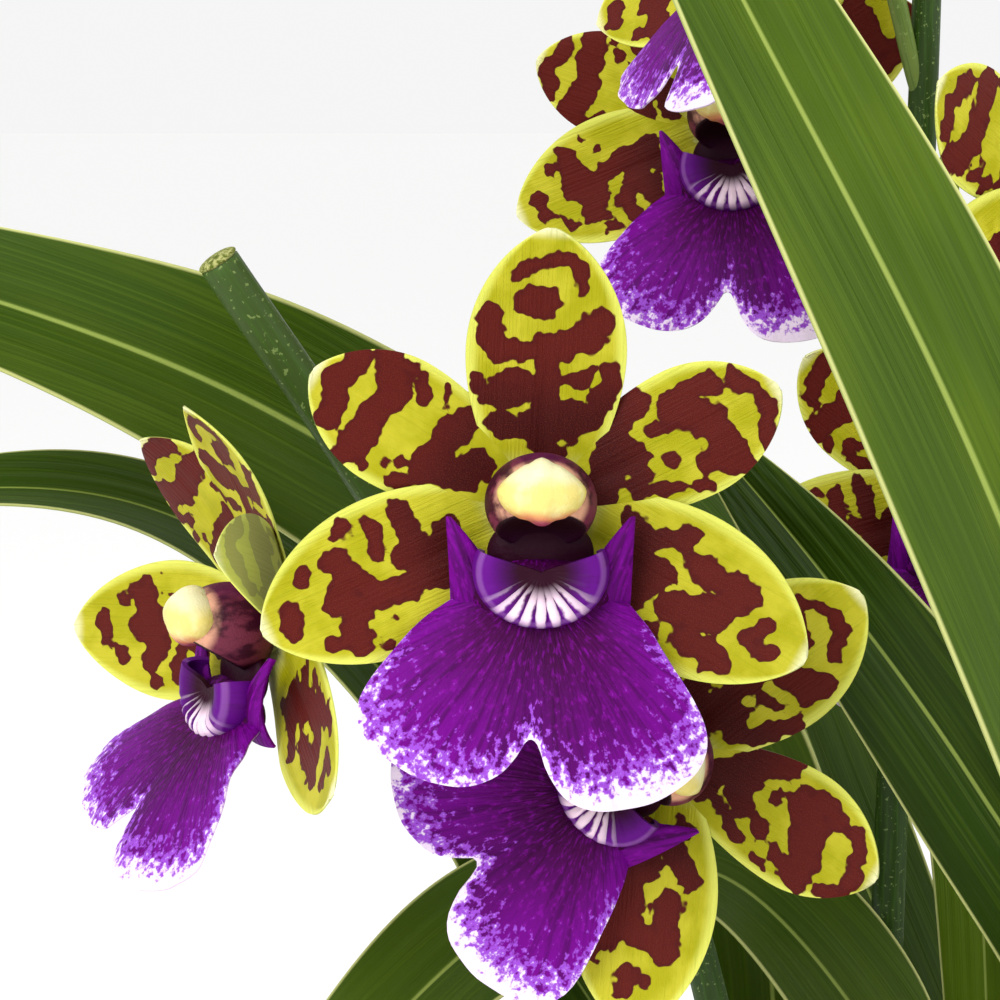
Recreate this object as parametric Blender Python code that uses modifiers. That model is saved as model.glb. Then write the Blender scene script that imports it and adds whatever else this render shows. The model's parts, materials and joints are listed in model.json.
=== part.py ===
"""A zygopetalum orchid in flower, in a plain clay pot.

Lengths are in millimetres and turned to metres when a mesh is made. +Z is up, the flowers
look towards -Y, and the origin is the middle of the pot's foot.
"""

import math
import random

import bmesh
import bpy
from mathutils import Matrix, Vector

MM = 0.001
GAP = 0.35  # clearance between neighbouring solids
SEED = 7

# Pot and growing medium
POT_HEIGHT = 120.0
POT_FOOT_RADIUS = 54.0
POT_TOP_RADIUS = 74.0
POT_WALL = 5.0
POT_FLOOR = 7.0
POT_RIM_HEIGHT = 22.0
POT_RIM_STEP = 4.0
POT_SIDES = 24
DRAIN_HOLES = 4
DRAIN_RADIUS = 5.0
DRAIN_RING = 30.0
BARK_LEVEL = 106.0
BARK_BUMP = 3.2
BARK_RINGS = 4

# Pseudobulbs: place on the bark, height above it
BULB_RADIUS = 15.0
BULB_SINK = 9.0
BULB_TOP_RADIUS = 10.5
BULB_SIDES = 10
BULB_SHAPE = ((0.86, 0.80), (0.62, 0.97), (0.38, 1.0), (0.16, 0.90))  # height, radius
BULB_FOOT = 0.70  # share of the radius at its foot
BULB_RIB = 0.035
BULBS = {
    "front": (28.0, -30.0, 56.0),
    "right": (44.0, 4.0, 50.0),
    "middle": (6.0, -8.0, 60.0),
    "back": (20.0, 36.0, 54.0),
    "left": (-28.0, 10.0, 58.0),
}
RHIZOME_RADIUS = 6.0
STEM_HOLE_LENGTH = 38.0

# Leaves
BLADE = 0.9  # thickness
LEAF_ROWS = 11
LEAF_HALF_COLUMNS = 1
LEAF_FOOT = 2.6  # half width where a leaf leaves its bulb
LEAF_FOOT_REACH = 6.6  # from the middle of the bulb's top
LEAF_RISE = 16.0  # how far it goes straight up first
LEAF_WIDEST = 0.5
LEAF_CLOSED = 0.75  # how much more it is folded at its foot, in radians
LEAF_OPEN_AT = 0.3
LEAF_RIPPLES = 17.0

# Flowers
RECEPTACLE = (4.6, 3.0, 4.6)
RECEPTACLE_BACK = 2.0
TEPAL_ROOT = 2.5
TEPAL_THICKNESS = 0.8
TEPAL_ROWS = 5
TEPAL_COLUMNS = 3
TEPAL_LEAN = 0.06
TEPAL_RIPPLE = 0.35
TEPAL_RIPPLES = 9.0
PEDICEL_RADIUS = 1.7
LIP_CENTRE = (0.0, -4.6, -9.0)
LIP_START = 3.0
LIP_SPREAD = 86.0  # the fan opens this many degrees to either side
LIP_BEND = -0.35 / 30.0  # it straightens by so many radians a millimetre
LIP_DISH = 2.2
LIP_CREASE = 0.9
LIP_RUFFLE = 0.9
LIP_RAYS = 10
LIP_RINGS = 3
COLLAR = ((0.0, -4.9, -10.2), (9.2, 3.4, 4.4))  # centre and radii
CALLUS_RADIUS = 5.6
CALLUS_SQUASH = 0.72
CALLUS_TUBE = 1.9
CALLUS_PLACE = (-7.6, -8.2)  # y and z of the middle of its ring
EAR_FOOT = (7.6, -6.2, -13.0)
EAR_RISE = (4.2, 1.6, 12.4)
EAR_HALF_WIDTH = 3.6
HOOD = ((0.0, -6.2, 1.4), (7.2, 7.6, 6.4))
HOOD_HOLLOW = ((0.0, -12.0, -4.6), (5.2, 8.4, 5.2))
HOOD_BACK = -1.3  # the hood ends here, in front of the tepals
HOOD_FLOOR = -5.4  # and here, above the callus
ANTHER = ((0.0, -12.2, 3.0), (4.6, 3.2, 3.6))

# Stalks, bracts and buds
PEDICEL_THIN = 1.3
PEDICEL_BEND = 0.42  # length of its two handles as a share of the distance
BRACT_LENGTH = 13.0
BRACT_HALF_WIDTH = 2.6
BUD_STALK = 9.0
BUD_CENTRE = 13.0
BUDS = ((0.965, 0.6, 7.0), (0.93, 3.4, 8.5))  # place on the spike, turn, half length
BRACTS = {"front": (0.30, 0.55), "back": (0.25, 0.45, 0.62), "cut": (0.35,)}

# A tepal: length, half width, where it is widest, half width at the root as a share, cup
SEPAL = (34.5, 10.3, 0.52, 0.50, 0.10)
LATERAL = (37.0, 10.4, 0.50, 0.45, 0.10)
PETAL = (32.5, 8.6, 0.60, 0.42, -0.05)
TEPALS = (
    ("dorsal", 88.0, SEPAL),
    ("petal_left", 148.0, PETAL),
    ("petal_right", 28.0, PETAL),
    ("lateral_left", 203.0, LATERAL),
    ("lateral_right", -29.0, LATERAL),
)

# The fan of the lip: angle from straight down (to the right is positive) and reach
LIP_OUTLINE = (
    (-88, 8), (-76, 13), (-64, 21), (-54, 29), (-40, 30), (-24, 28.5), (-14, 25),
    (-7, 20.5), (0, 22.5), (8, 28), (20, 31), (34, 32), (46, 29.5), (58, 19), (74, 12),
    (88, 8),
)

# Flowers: centre, facing, roll (anticlockwise from the front), forward curl of the
# tepals, lean of the lip at its root, spike, height of the pedicel on it
FLOWERS = {
    "main": ((-65, -55, 300), (0.0, -1.0, 0.10), 0, 0.34, 0.42, "front", 283),
    "left": ((-103, -34, 278), (-0.86, -0.50, 0.10), 0, 0.95, 0.84, "front", 266),
    "lower": ((-48, -39, 263), (-0.10, -0.99, 0.05), -58, 0.30, 0.50, "front", 240),
    "upper": ((-31, 34, 349), (-0.20, -0.97, 0.10), 4, 0.30, 0.50, "back", 300),
    "top": ((-29, 1, 383), (-0.92, -0.38, 0.02), 6, 0.80, 0.75, "back", 352),
    "right": ((14, -12, 338), (0.45, -0.88, 0.10), 4, 0.35, 0.50, "back", 312),
    "inner": ((2, -6, 292), (-0.10, -0.98, 0.10), -8, 0.30, 0.55, "back", 272),
}

# Tepals that stand out from the rule of their flower: extra turn, share of the curl
ODD_TEPALS = {
    ("left", "dorsal"): (0, 1.0),
    ("left", "petal_left"): (-22, 1.0),
    ("left", "petal_right"): (10, 1.2),
    ("left", "lateral_left"): (-14, 0.9),
    ("left", "lateral_right"): (10, 0.3),
    ("lower", "dorsal"): (14, 1.0),
    ("lower", "lateral_right"): (-8, 1.0),
    ("upper", "petal_left"): (10, 1.0),
    ("upper", "lateral_left"): (-5, 1.0),
}

# Spikes: points from the foot in the bark to the tip, radius at the foot and at the tip
SPIKES = {
    "front": (
        (
            (-22, -34, 94), (-26, -34, 150), (-34, -29, 200), (-44, -22, 240),
            (-56, -22, 272), (-66, -28, 298), (-69, -34, 322),
        ),
        3.0,
        1.9,
    ),
    "back": (
        (
            (-4, 20, 94), (-4, 20, 150), (-4, 19, 220), (-4, 16, 280), (-4, 13, 330),
            (-4, 12, 380), (-6, 8, 424),
        ),
        3.2,
        2.0,
    ),
    "cut": (
        (
            (-44, -10, 94), (-45, -6, 150), (-51, -5, 215), (-70, -11, 262),
            (-89, -16, 296), (-110, -24, 330),
        ),
        3.6,
        3.0,
    ),
}

# Leaves: bulb, turn of the foot round the bulb's top, points after the foot, half width,
# where the upper face looks, fold, wave
LEAVES = {
    "near": (
        "front", 240, ((16, -60, 236), (-2, -82, 280), (-21, -94, 320), (-45, -98, 363),
                       (-72, -96, 412)), 14.0, (0.35, -1, 0.3), 0.16, 0.6),
    "upper_left": (
        "left", 40, ((-24, 40, 214), (-50, 39, 260), (-92, 8, 296), (-138, -4, 320),
                     (-228, -4, 346)), 20.0, (-0.1, -0.95, 0.5), 0.30, 1.6),
    "lower_left": (
        "left", 190, ((-60, 28, 206), (-84, 36, 246), (-116, 24, 280), (-152, 8, 292),
                      (-204, -6, 282)), 10.5, (0.0, -0.6, 0.9), 0.22, 1.0),
    "low_arch": (
        "middle", 140, ((-8, 2, 200), (-34, 15, 225), (-66, 14, 219), (-98, -4, 195),
                        (-138, -26, 152)), 15.0, (0.1, -0.35, 1), 0.18, 1.8),
    "inner": (
        "right", 215, ((22, -26, 216), (-2, -33, 256), (-24, -30, 286), (-46, -30, 312)),
        11.0, (-0.3, -1, 0.4), 0.20, 0.8),
    "pale": (
        "back", 250, ((14, 30, 220), (10, 44, 270), (8, 58, 310), (12, 66, 350)),
        9.0, (0.0, -1, 0.1), 0.12, 0.6),
    "right_tall": (
        "right", 335, ((54, -8, 226), (52, -14, 270), (60, -16, 310), (82, -14, 346)),
        13.0, (-0.2, -1, 0.3), 0.22, 1.4),
    "right_low": (
        "front", 350, ((52, -50, 210), (86, -64, 240), (130, -72, 240), (178, -74, 206)),
        15.0, (-0.2, -0.5, 1), 0.22, 1.8),
    "right_back": (
        "right", 60, ((62, 24, 220), (90, 40, 262), (124, 52, 282), (170, 60, 276)),
        15.0, (-0.5, -0.4, 1), 0.24, 1.6),
    "back_tall": (
        "back", 20, ((36, 58, 230), (44, 74, 290), (62, 90, 340), (92, 108, 374)),
        14.0, (-0.4, -0.8, 0.5), 0.22, 1.4),
    "back_left": (
        "back", 140, ((-4, 60, 214), (-26, 84, 264), (-60, 108, 286), (-108, 130, 274)),
        15.0, (0.3, -0.4, 1), 0.22, 1.6),
    "front_low": (
        "middle", 260, ((-2, -36, 200), (-20, -66, 222), (-44, -104, 212),
                        (-74, -146, 168)), 13.0, (0.2, 0.2, 1), 0.22, 1.6),
}


def material(name, colour, roughness):
    """A plain finish: base colour as linear RGB and a roughness."""
    mat = bpy.data.materials.new(name)
    mat.use_nodes = True
    shader = mat.node_tree.nodes["Principled BSDF"]
    shader.inputs["Base Color"].default_value = (*colour, 1.0)
    shader.inputs["Roughness"].default_value = roughness
    shader.inputs["Metallic"].default_value = 0.0
    return mat


def make_materials():
    """One material for each kind of piece."""
    return {
        "clay": material("terracotta_clay", (0.42, 0.16, 0.08), 0.85),
        "bark": material("pine_bark_chips", (0.10, 0.05, 0.03), 0.95),
        "bulb": material("pseudobulb_skin", (0.16, 0.26, 0.05), 0.5),
        "leaf": material("orchid_leaf", (0.05, 0.17, 0.02), 0.4),
        "stem": material("spike_stem", (0.03, 0.13, 0.02), 0.45),
        "tepal": material("blotched_tepal", (0.35, 0.22, 0.04), 0.45),
        "lip": material("violet_lip", (0.14, 0.01, 0.32), 0.5),
        "column": material("maroon_column", (0.10, 0.01, 0.04), 0.4),
        "anther": material("cream_anther_cap", (0.80, 0.62, 0.15), 0.4),
    }


def place(parts, name, mesh, mat):
    """Link a mesh as a named sub-part."""
    obj = bpy.data.objects.new(name, mesh)
    mesh.materials.clear()
    mesh.materials.append(mat)
    parts.objects.link(obj)
    return obj


def from_bmesh(bm, name):
    """Turn a bmesh in millimetres into a mesh in metres with its faces pointing out."""
    bmesh.ops.recalc_face_normals(bm, faces=bm.faces)
    bmesh.ops.scale(bm, vec=(MM, MM, MM), verts=bm.verts)
    mesh = bpy.data.meshes.new(name)
    bm.to_mesh(mesh)
    bm.free()
    return mesh


def helper(mesh, name, group):
    """An object that only takes part in a Boolean."""
    obj = bpy.data.objects.new(name, mesh)
    obj.hide_render = True
    obj.display_type = "WIRE"
    group.objects.link(obj)
    return obj


def evaluated_mesh(obj):
    """The mesh of an object with its modifiers applied."""
    bpy.context.view_layer.update()
    graph = bpy.context.evaluated_depsgraph_get()
    return bpy.data.meshes.new_from_object(obj.evaluated_get(graph))


def drop(obj):
    """Remove an object that has done its work."""
    bpy.data.objects.remove(obj, do_unlink=True)


def boolean(base_mesh, others, operation, name):
    """Join or cut base_mesh with the meshes in others by one Boolean on a collection.

    The MANIFOLD solver is used because all meshes here are closed and it is quick.
    """
    group = bpy.data.collections.new(name + "_group")
    bpy.context.scene.collection.children.link(group)
    base = bpy.data.objects.new(name + "_base", base_mesh)
    bpy.context.scene.collection.objects.link(base)
    for number, mesh in enumerate(others):
        helper(mesh, f"{name}_{number}", group)
    modifier = base.modifiers.new("join", "BOOLEAN")
    modifier.operation = operation
    modifier.operand_type = "COLLECTION"
    modifier.collection = group
    modifier.solver = "MANIFOLD"
    result = evaluated_mesh(base)
    drop(base)
    for obj in list(group.objects):
        drop(obj)
    bpy.data.collections.remove(group)
    return result


def solid_of(bm, thickness, name):
    """Give an open sheet in millimetres its thickness, triangles alike on both faces."""
    bmesh.ops.triangulate(bm, faces=bm.faces)
    bmesh.ops.recalc_face_normals(bm, faces=bm.faces)
    bmesh.ops.scale(bm, vec=(MM, MM, MM), verts=bm.verts)
    mesh = bpy.data.meshes.new(name)
    bm.to_mesh(mesh)
    bm.free()
    obj = bpy.data.objects.new(name, mesh)
    bpy.context.scene.collection.objects.link(obj)
    wall = obj.modifiers.new("wall", "SOLIDIFY")
    wall.thickness = thickness * MM
    wall.offset = 0.0
    result = evaluated_mesh(obj)
    drop(obj)
    return result


def sheet(rows, columns, point, thickness, name):
    """A grid bent by point(s, v), with s 0..1 along and v -1..1 across."""
    bm = bmesh.new()
    bmesh.ops.create_grid(bm, x_segments=columns, y_segments=rows, size=0.5)
    for vert in bm.verts:
        vert.co = point(vert.co.y + 0.5, vert.co.x * 2.0)
    return solid_of(bm, thickness, name)


def ellipsoid(centre, radii, sides, rings, name, grow=0.0):
    """A closed ellipsoid; grow makes it larger all round for a cutter."""
    bm = bmesh.new()
    bmesh.ops.create_uvsphere(bm, u_segments=sides, v_segments=rings, radius=1.0)
    for vert in bm.verts:
        vert.co = Vector(centre) + Vector([c * (r + grow) for c, r in zip(vert.co, radii)])
    return from_bmesh(bm, name)


def cylinder(centre, radius, depth, sides, name):
    """A closed upright cylinder."""
    bm = bmesh.new()
    bmesh.ops.create_cone(
        bm, cap_ends=True, segments=sides, radius1=radius, radius2=radius, depth=depth
    )
    bmesh.ops.translate(bm, vec=centre, verts=bm.verts)
    return from_bmesh(bm, name)


def box(centre, size, name):
    """A closed box."""
    bm = bmesh.new()
    bmesh.ops.create_cube(bm, size=1.0)
    for vert in bm.verts:
        vert.co = Vector(centre) + Vector([c * s for c, s in zip(vert.co, size)])
    return from_bmesh(bm, name)


def turned(profile, steps, name):
    """Turn a profile of (radius, height) points round Z."""
    mesh = bpy.data.meshes.new(name)
    points = [(radius * MM, 0.0, height * MM) for radius, height in profile]
    edges = [(i, i + 1) for i in range(len(points) - 1)]
    mesh.from_pydata(points, edges, [])
    obj = bpy.data.objects.new(name, mesh)
    bpy.context.scene.collection.objects.link(obj)
    screw = obj.modifiers.new("turn", "SCREW")
    screw.steps = steps
    screw.render_steps = steps
    screw.use_merge_vertices = True
    screw.merge_threshold = 0.00001
    result = evaluated_mesh(obj)
    drop(obj)
    return result


def curve_point(points, share):
    """A point on the smooth curve through points, share 0..1, and its direction."""
    last = len(points) - 1
    place_on = min(max(share, 0.0), 1.0) * last
    i = min(int(place_on), last - 1)
    u = place_on - i
    p1, p2 = Vector(points[i]), Vector(points[i + 1])
    p0 = Vector(points[i - 1]) if i else p1 * 2 - p2
    p3 = Vector(points[i + 2]) if i + 2 <= last else p2 * 2 - p1
    a, b, c = p2 - p0, p0 * 2 - p1 * 5 + p2 * 4 - p3, p1 * 3 - p0 - p2 * 3 + p3
    spot = p1 + (a * u + b * u * u + c * u * u * u) * 0.5
    way = (a + b * (2 * u) + c * (3 * u * u)) * 0.5
    return spot, way.normalized()


def rod(points, radii, count, name, resolution=2):
    """A tapering rod along the smooth curve through points."""
    curve = bpy.data.curves.new(name, "CURVE")
    curve.dimensions = "3D"
    curve.bevel_depth = MM
    curve.bevel_resolution = resolution
    curve.use_fill_caps = True
    spline = curve.splines.new("POLY")
    spline.points.add(count - 1)
    for i, target in enumerate(spline.points):
        share = i / (count - 1)
        spot, _ = curve_point(points, share)
        target.co = (*(spot * MM), 1.0)
        target.radius = radii[0] + (radii[1] - radii[0]) * share
    obj = bpy.data.objects.new(name, curve)
    bpy.context.scene.collection.objects.link(obj)
    mesh = evaluated_mesh(obj)
    drop(obj)
    bm = bmesh.new()
    bm.from_mesh(mesh)
    bmesh.ops.remove_doubles(bm, verts=bm.verts, dist=0.00001)
    bmesh.ops.recalc_face_normals(bm, faces=bm.faces)
    bm.to_mesh(mesh)
    bm.free()
    return mesh


def pot_radius(height):
    """Outer radius of the pot's wall below its rim band."""
    return POT_FOOT_RADIUS + (POT_TOP_RADIUS - POT_FOOT_RADIUS) * height / POT_HEIGHT


def make_pot(parts, mats):
    """A turned clay pot with a rim band and drain holes round its middle."""
    band = POT_HEIGHT - POT_RIM_HEIGHT
    profile = (
        (0.0, POT_FLOOR),
        (pot_radius(POT_FLOOR) - POT_WALL, POT_FLOOR),
        (pot_radius(POT_HEIGHT) - POT_WALL, POT_HEIGHT - 1.0),
        (pot_radius(POT_HEIGHT) - POT_WALL + 1.0, POT_HEIGHT),
        (POT_TOP_RADIUS + POT_RIM_STEP - 1.0, POT_HEIGHT),
        (POT_TOP_RADIUS + POT_RIM_STEP, POT_HEIGHT - 1.5),
        (POT_TOP_RADIUS + POT_RIM_STEP - 1.5, band),
        (pot_radius(band - 2.0), band - 2.0),
        (POT_FOOT_RADIUS, 1.0),
        (POT_FOOT_RADIUS - 1.0, 0.0),
        (0.0, 0.0),
    )
    body = turned(profile, POT_SIDES, "pot")
    holes = []
    for number in range(DRAIN_HOLES):
        turn = 2 * math.pi * (number + 0.5) / DRAIN_HOLES
        centre = (DRAIN_RING * math.cos(turn), DRAIN_RING * math.sin(turn), POT_FLOOR / 2)
        holes.append(cylinder(centre, DRAIN_RADIUS, POT_FLOOR * 2, 10, "drain"))
    return place(parts, "pot", boolean(body, holes, "DIFFERENCE", "pot"), mats["clay"])


def bulb_outline(height, grow):
    """Profile of a pseudobulb from its flat top down, standing on z = 0."""
    rim = (BULB_TOP_RADIUS + grow, height + grow)
    side = [(BULB_RADIUS * wide + grow, height * high) for high, wide in BULB_SHAPE]
    foot = (BULB_RADIUS * BULB_FOOT + grow, -grow)
    return [(0.0, height + grow), rim, *side, foot, (0.0, -grow)]


def bulb_mesh(spot, grow, name):
    """One pseudobulb, with shallow ribs, or its grown cutter."""
    x, y, height = spot
    mesh = turned(bulb_outline(height, grow), BULB_SIDES, name)
    foot = BARK_LEVEL - BULB_SINK
    for vert in mesh.vertices:
        co = vert.co
        side = math.atan2(co.y, co.x)
        rib = 1.0 + BULB_RIB * math.cos(side * BULB_SIDES / 2)
        co.x, co.y = co.x * rib + x * MM, co.y * rib + y * MM
        co.z += foot * MM
    return mesh


def rhizome_meshes(grow):
    """Short creeping stems that tie each bulb to the middle one."""
    middle = BULBS["middle"]
    level = BARK_LEVEL - BULB_SINK + RHIZOME_RADIUS + 1.0
    meshes = []
    for name, spot in BULBS.items():
        if name != "middle":
            ends = ((middle[0], middle[1], level), (spot[0], spot[1], level))
            radius = RHIZOME_RADIUS + grow
            meshes.append(rod(ends, (radius, radius), 3, "rhizome", 1))
    return meshes


def clump_pieces(grow):
    """The bulbs and the creeping stems between them."""
    bulbs = [bulb_mesh(spot, grow, "bulb") for spot in BULBS.values()]
    return bulbs + rhizome_meshes(grow)


def make_bulbs(parts, mats):
    """The clump of pseudobulbs on its rhizome, grown as one piece."""
    pieces = clump_pieces(0.0)
    mesh = boolean(pieces[0], pieces[1:], "UNION", "pseudobulbs")
    return place(parts, "pseudobulb_clump", mesh, mats["bulb"])


def bark_height(x, y):
    """Lumps of the bark's top, higher towards the middle."""
    lumps = math.sin(x * 0.31 + 1.3 * math.sin(y * 0.17)) * math.cos(y * 0.27 + 0.6)
    lumps += 0.6 * math.sin(x * 0.62 + y * 0.45)
    return BARK_LEVEL + BARK_BUMP * 0.5 * lumps


def make_bark(parts, mats):
    """The bark that fills the pot, with plain holes for the bulbs and the spikes."""
    inner_foot = pot_radius(POT_FLOOR) - POT_WALL - GAP
    inner_top = pot_radius(BARK_LEVEL) - POT_WALL - GAP - 0.6
    rings = [(inner_top * ring / BARK_RINGS, BARK_LEVEL) for ring in range(BARK_RINGS + 1)]
    profile = rings + [(inner_foot, POT_FLOOR + GAP), (0.0, POT_FLOOR + GAP)]
    body = turned(profile, POT_SIDES, "bark")
    for vert in body.vertices:
        reach = math.hypot(vert.co.x, vert.co.y) / MM
        if vert.co.z / MM > BARK_LEVEL - 1 and reach < inner_top - 1:
            vert.co.z = bark_height(vert.co.x / MM, vert.co.y / MM) * MM
    holes = clump_pieces(GAP)
    for points, foot_radius, _ in SPIKES.values():
        high = (Vector(points[1]) - Vector(points[0])).normalized()
        low = Vector(points[0]) - high * GAP
        ends = (low, low + high * STEM_HOLE_LENGTH)
        radius = foot_radius + GAP
        holes.append(rod(ends, (radius, radius), 3, "stem_hole"))
    mesh = boolean(body, holes, "DIFFERENCE", "bark")
    return place(parts, "bark_medium", mesh, mats["bark"])


def leaf_width(t, half_width):
    """Half width of a leaf, t 0 at its foot and 1 at its tip."""
    swell = math.sin(min(t / LEAF_WIDEST, 1.0) * math.pi / 2) ** 1.4
    rise = LEAF_FOOT + (half_width - LEAF_FOOT) * swell
    past = max(t - LEAF_WIDEST, 0.0) / (1.0 - LEAF_WIDEST)
    fall = (1.0 - past ** 2.2) ** 0.9
    return max(rise * fall, 0.5)


def leaf_point(leaf, foot, s, v):
    """A point of a leaf's blade: folded at the midrib and waved at its edges."""
    _, _, path, half_width, face, fold, wave = leaf
    points = [foot, (foot[0], foot[1], foot[2] + LEAF_RISE), *path]
    spot, way = curve_point(points, s)
    side = way.cross(Vector(face)).normalized()
    up = side.cross(way).normalized()
    width = leaf_width(s, half_width)
    opening = fold + LEAF_CLOSED * (1.0 - min(s / LEAF_OPEN_AT, 1.0))
    phase = s * LEAF_RIPPLES + (1.3 if v > 0 else 0.0)
    ripple = wave * math.sin(phase) * v * v * min(s / LEAF_OPEN_AT, 1.0)
    lift = abs(v) * width * math.sin(opening) + ripple
    return spot + side * (v * width * math.cos(opening)) + up * lift


def leaf_foot(leaf):
    """Where a leaf stands on the flat top of its bulb."""
    x, y, height = BULBS[leaf[0]]
    turn = math.radians(leaf[1])
    top = BARK_LEVEL - BULB_SINK + height
    reach = LEAF_FOOT_REACH
    return (x + reach * math.cos(turn), y + reach * math.sin(turn), top + GAP + 0.1)


def make_leaf(parts, mats, name):
    """One strap leaf."""
    leaf = LEAVES[name]
    foot = leaf_foot(leaf)
    mesh = sheet(
        LEAF_ROWS, LEAF_HALF_COLUMNS * 2, lambda s, v: leaf_point(leaf, foot, s, v), BLADE, name
    )
    return place(parts, f"leaf_{name}", mesh, mats["leaf"])


def tepal_width(t, shape):
    """Half width of a tepal, t 0 at its root and 1 at its tip."""
    _, half_width, widest, root, _ = shape
    if t < widest:
        wide = root + (1.0 - root) * math.sin(t / widest * math.pi / 2)
    else:
        wide = (1.0 - ((t - widest) / (1.0 - widest)) ** 2.1) ** 0.62
    return max(half_width * wide, 0.35)


def tepal_point(shape, angle, curl, phase, s, v):
    """A point of a tepal in the flower's frame: out along angle, curling towards -Y."""
    length, half_width, _, _, cup = shape
    t = math.sin(s * math.pi / 2)
    start, bend = TEPAL_LEAN, curl
    along = length * (math.sin(start + bend * t) - math.sin(start)) / bend
    forward = length * (math.cos(start) - math.cos(start + bend * t)) / bend
    across = v * tepal_width(t, shape)
    forward += cup * across * across / half_width * min(t * 2.5, 1.0)
    ripple = math.sin(t * TEPAL_RIPPLES + phase + (2.0 if v > 0 else 0.0))
    forward += TEPAL_RIPPLE * ripple * v * v * t
    reach = TEPAL_ROOT + along
    turn = math.radians(angle)
    out = Vector((math.cos(turn), 0.0, math.sin(turn)))
    sideways = Vector((math.sin(turn), 0.0, -math.cos(turn)))
    return out * reach + sideways * across + Vector((0.0, -forward, 0.0))


def tepals_mesh(flower):
    """Three sepals and two petals grown from one receptacle."""
    curl = FLOWERS[flower][3]
    core = ellipsoid((0.0, RECEPTACLE_BACK, 0.0), RECEPTACLE, 8, 4, "receptacle")
    blades = []
    for name, angle, shape in TEPALS:
        chance = random.Random(f"{SEED} {flower} {name}")
        steady = flower == "main"
        more, share = ODD_TEPALS.get((flower, name), (0, 1.0))
        turn = angle + more + (0.0 if steady else chance.uniform(-3.0, 3.0))
        bend = curl * share * (0.9 if steady else chance.uniform(0.85, 1.1))
        phase = chance.uniform(0.0, 6.0)
        blades.append(
            sheet(
                TEPAL_ROWS,
                TEPAL_COLUMNS,
                lambda s, v: tepal_point(shape, turn, bend, phase, s, v),
                TEPAL_THICKNESS,
                name,
            )
        )
    return boolean(core, blades, "UNION", "tepals")


def lip_reach(degrees):
    """How far the fan reaches at an angle from straight down."""
    for (a0, r0), (a1, r1) in zip(LIP_OUTLINE, LIP_OUTLINE[1:]):
        if degrees <= a1:
            share = (degrees - a0) / (a1 - a0)
            share = share * share * (3 - 2 * share)
            return r0 + (r1 - r0) * share
    return LIP_OUTLINE[-1][1]


def lip_point(lean, s, v):
    """A point of the fan: s 0 at the callus and 1 at the edge, v -1..1 from left to right."""
    degrees = v * LIP_SPREAD
    angle = math.radians(degrees)
    reach = LIP_START + (lip_reach(degrees) - LIP_START) * s
    x, down = reach * math.sin(angle), reach * math.cos(angle)
    drop_by = (math.sin(lean + LIP_BEND * down) - math.sin(lean)) / LIP_BEND
    forward = (math.cos(lean) - math.cos(lean + LIP_BEND * down)) / LIP_BEND
    forward -= LIP_DISH * (x / 24.0) ** 2 + LIP_CREASE * math.exp(-((x / 3.0) ** 2)) * s
    forward += LIP_RUFFLE * math.sin(angle * 7.0 + 0.8) * s * s
    return Vector(LIP_CENTRE) + Vector((x, -forward, -drop_by))


def ear_point(side, s, v):
    """A point of one of the two ears that stand up beside the callus."""
    width = EAR_HALF_WIDTH * (1.0 - s ** 1.4) + 0.35
    bow = 0.8 * math.sin(s * math.pi)
    x = side * (EAR_FOOT[0] + EAR_RISE[0] * s ** 1.5 + v * width)
    return Vector((x, EAR_FOOT[1] + EAR_RISE[1] * s - bow, EAR_FOOT[2] + EAR_RISE[2] * s))


def callus_mesh():
    """The raised horseshoe under the column."""
    points = []
    y, middle = CALLUS_PLACE
    for step in range(7):
        turn = math.pi + math.pi * step / 6
        z = middle + CALLUS_RADIUS * CALLUS_SQUASH * math.sin(turn)
        points.append((CALLUS_RADIUS * math.cos(turn), y, z))
    return rod(points, (CALLUS_TUBE, CALLUS_TUBE), 7, "callus", 1)


def lip_mesh(flower):
    """Fan, collar, callus and ears grown as one piece."""
    lean = FLOWERS[flower][4]
    collar = ellipsoid(*COLLAR, 10, 5, "collar")
    fan = sheet(LIP_RINGS, LIP_RAYS, lambda s, v: lip_point(lean, s, v), 0.9, "fan")
    ears = [sheet(2, 2, lambda s, v: ear_point(side, s, v), 1.1, "ear") for side in (-1, 1)]
    return boolean(collar, [fan, callus_mesh(), *ears], "UNION", "lip")


def column_mesh():
    """The hooded column, hollow underneath, with a seat for the anther cap."""
    hood = ellipsoid(*HOOD, 10, 6, "hood")
    back = box((0.0, HOOD_BACK + 5.0, 0.0), (30.0, 10.0, 30.0), "back")
    floor = box((0.0, 0.0, HOOD_FLOOR - 20.0), (30.0, 60.0, 40.0), "floor")
    hollow = ellipsoid(*HOOD_HOLLOW, 8, 5, "hollow")
    seat = ellipsoid(*ANTHER, 8, 5, "seat", grow=GAP)
    return boolean(hood, [back, floor, hollow, seat], "DIFFERENCE", "column")


def flower_matrix(flower):
    """Place and turn of a flower: its face looks along facing, rolled about it."""
    centre, facing, roll = FLOWERS[flower][:3]
    back = -Vector(facing).normalized()
    up = (Vector((0, 0, 1)) - back * back.z).normalized()
    right = back.cross(up)
    turn = Matrix((right, back, up)).transposed().to_4x4()
    rolled = turn @ Matrix.Rotation(-math.radians(roll), 4, "Y")
    return Matrix.Translation(Vector(centre) * MM) @ rolled


def make_flower(parts, mats, flower):
    """The four colour bodies of one flower."""
    matrix = flower_matrix(flower)
    for name, mesh, mat in (
        ("tepals", tepals_mesh(flower), "tepal"),
        ("lip", lip_mesh(flower), "lip"),
        ("column", column_mesh(), "column"),
        ("anther_cap", ellipsoid(*ANTHER, 8, 5, "cap"), "anther"),
    ):
        mesh.transform(matrix)
        place(parts, f"{flower}_{name}", mesh, mats[mat])


def spike_share(points, height):
    """How far along a spike a height lies."""
    for step in range(201):
        if curve_point(points, step / 200)[0].z >= height:
            return step / 200
    return 1.0


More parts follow.
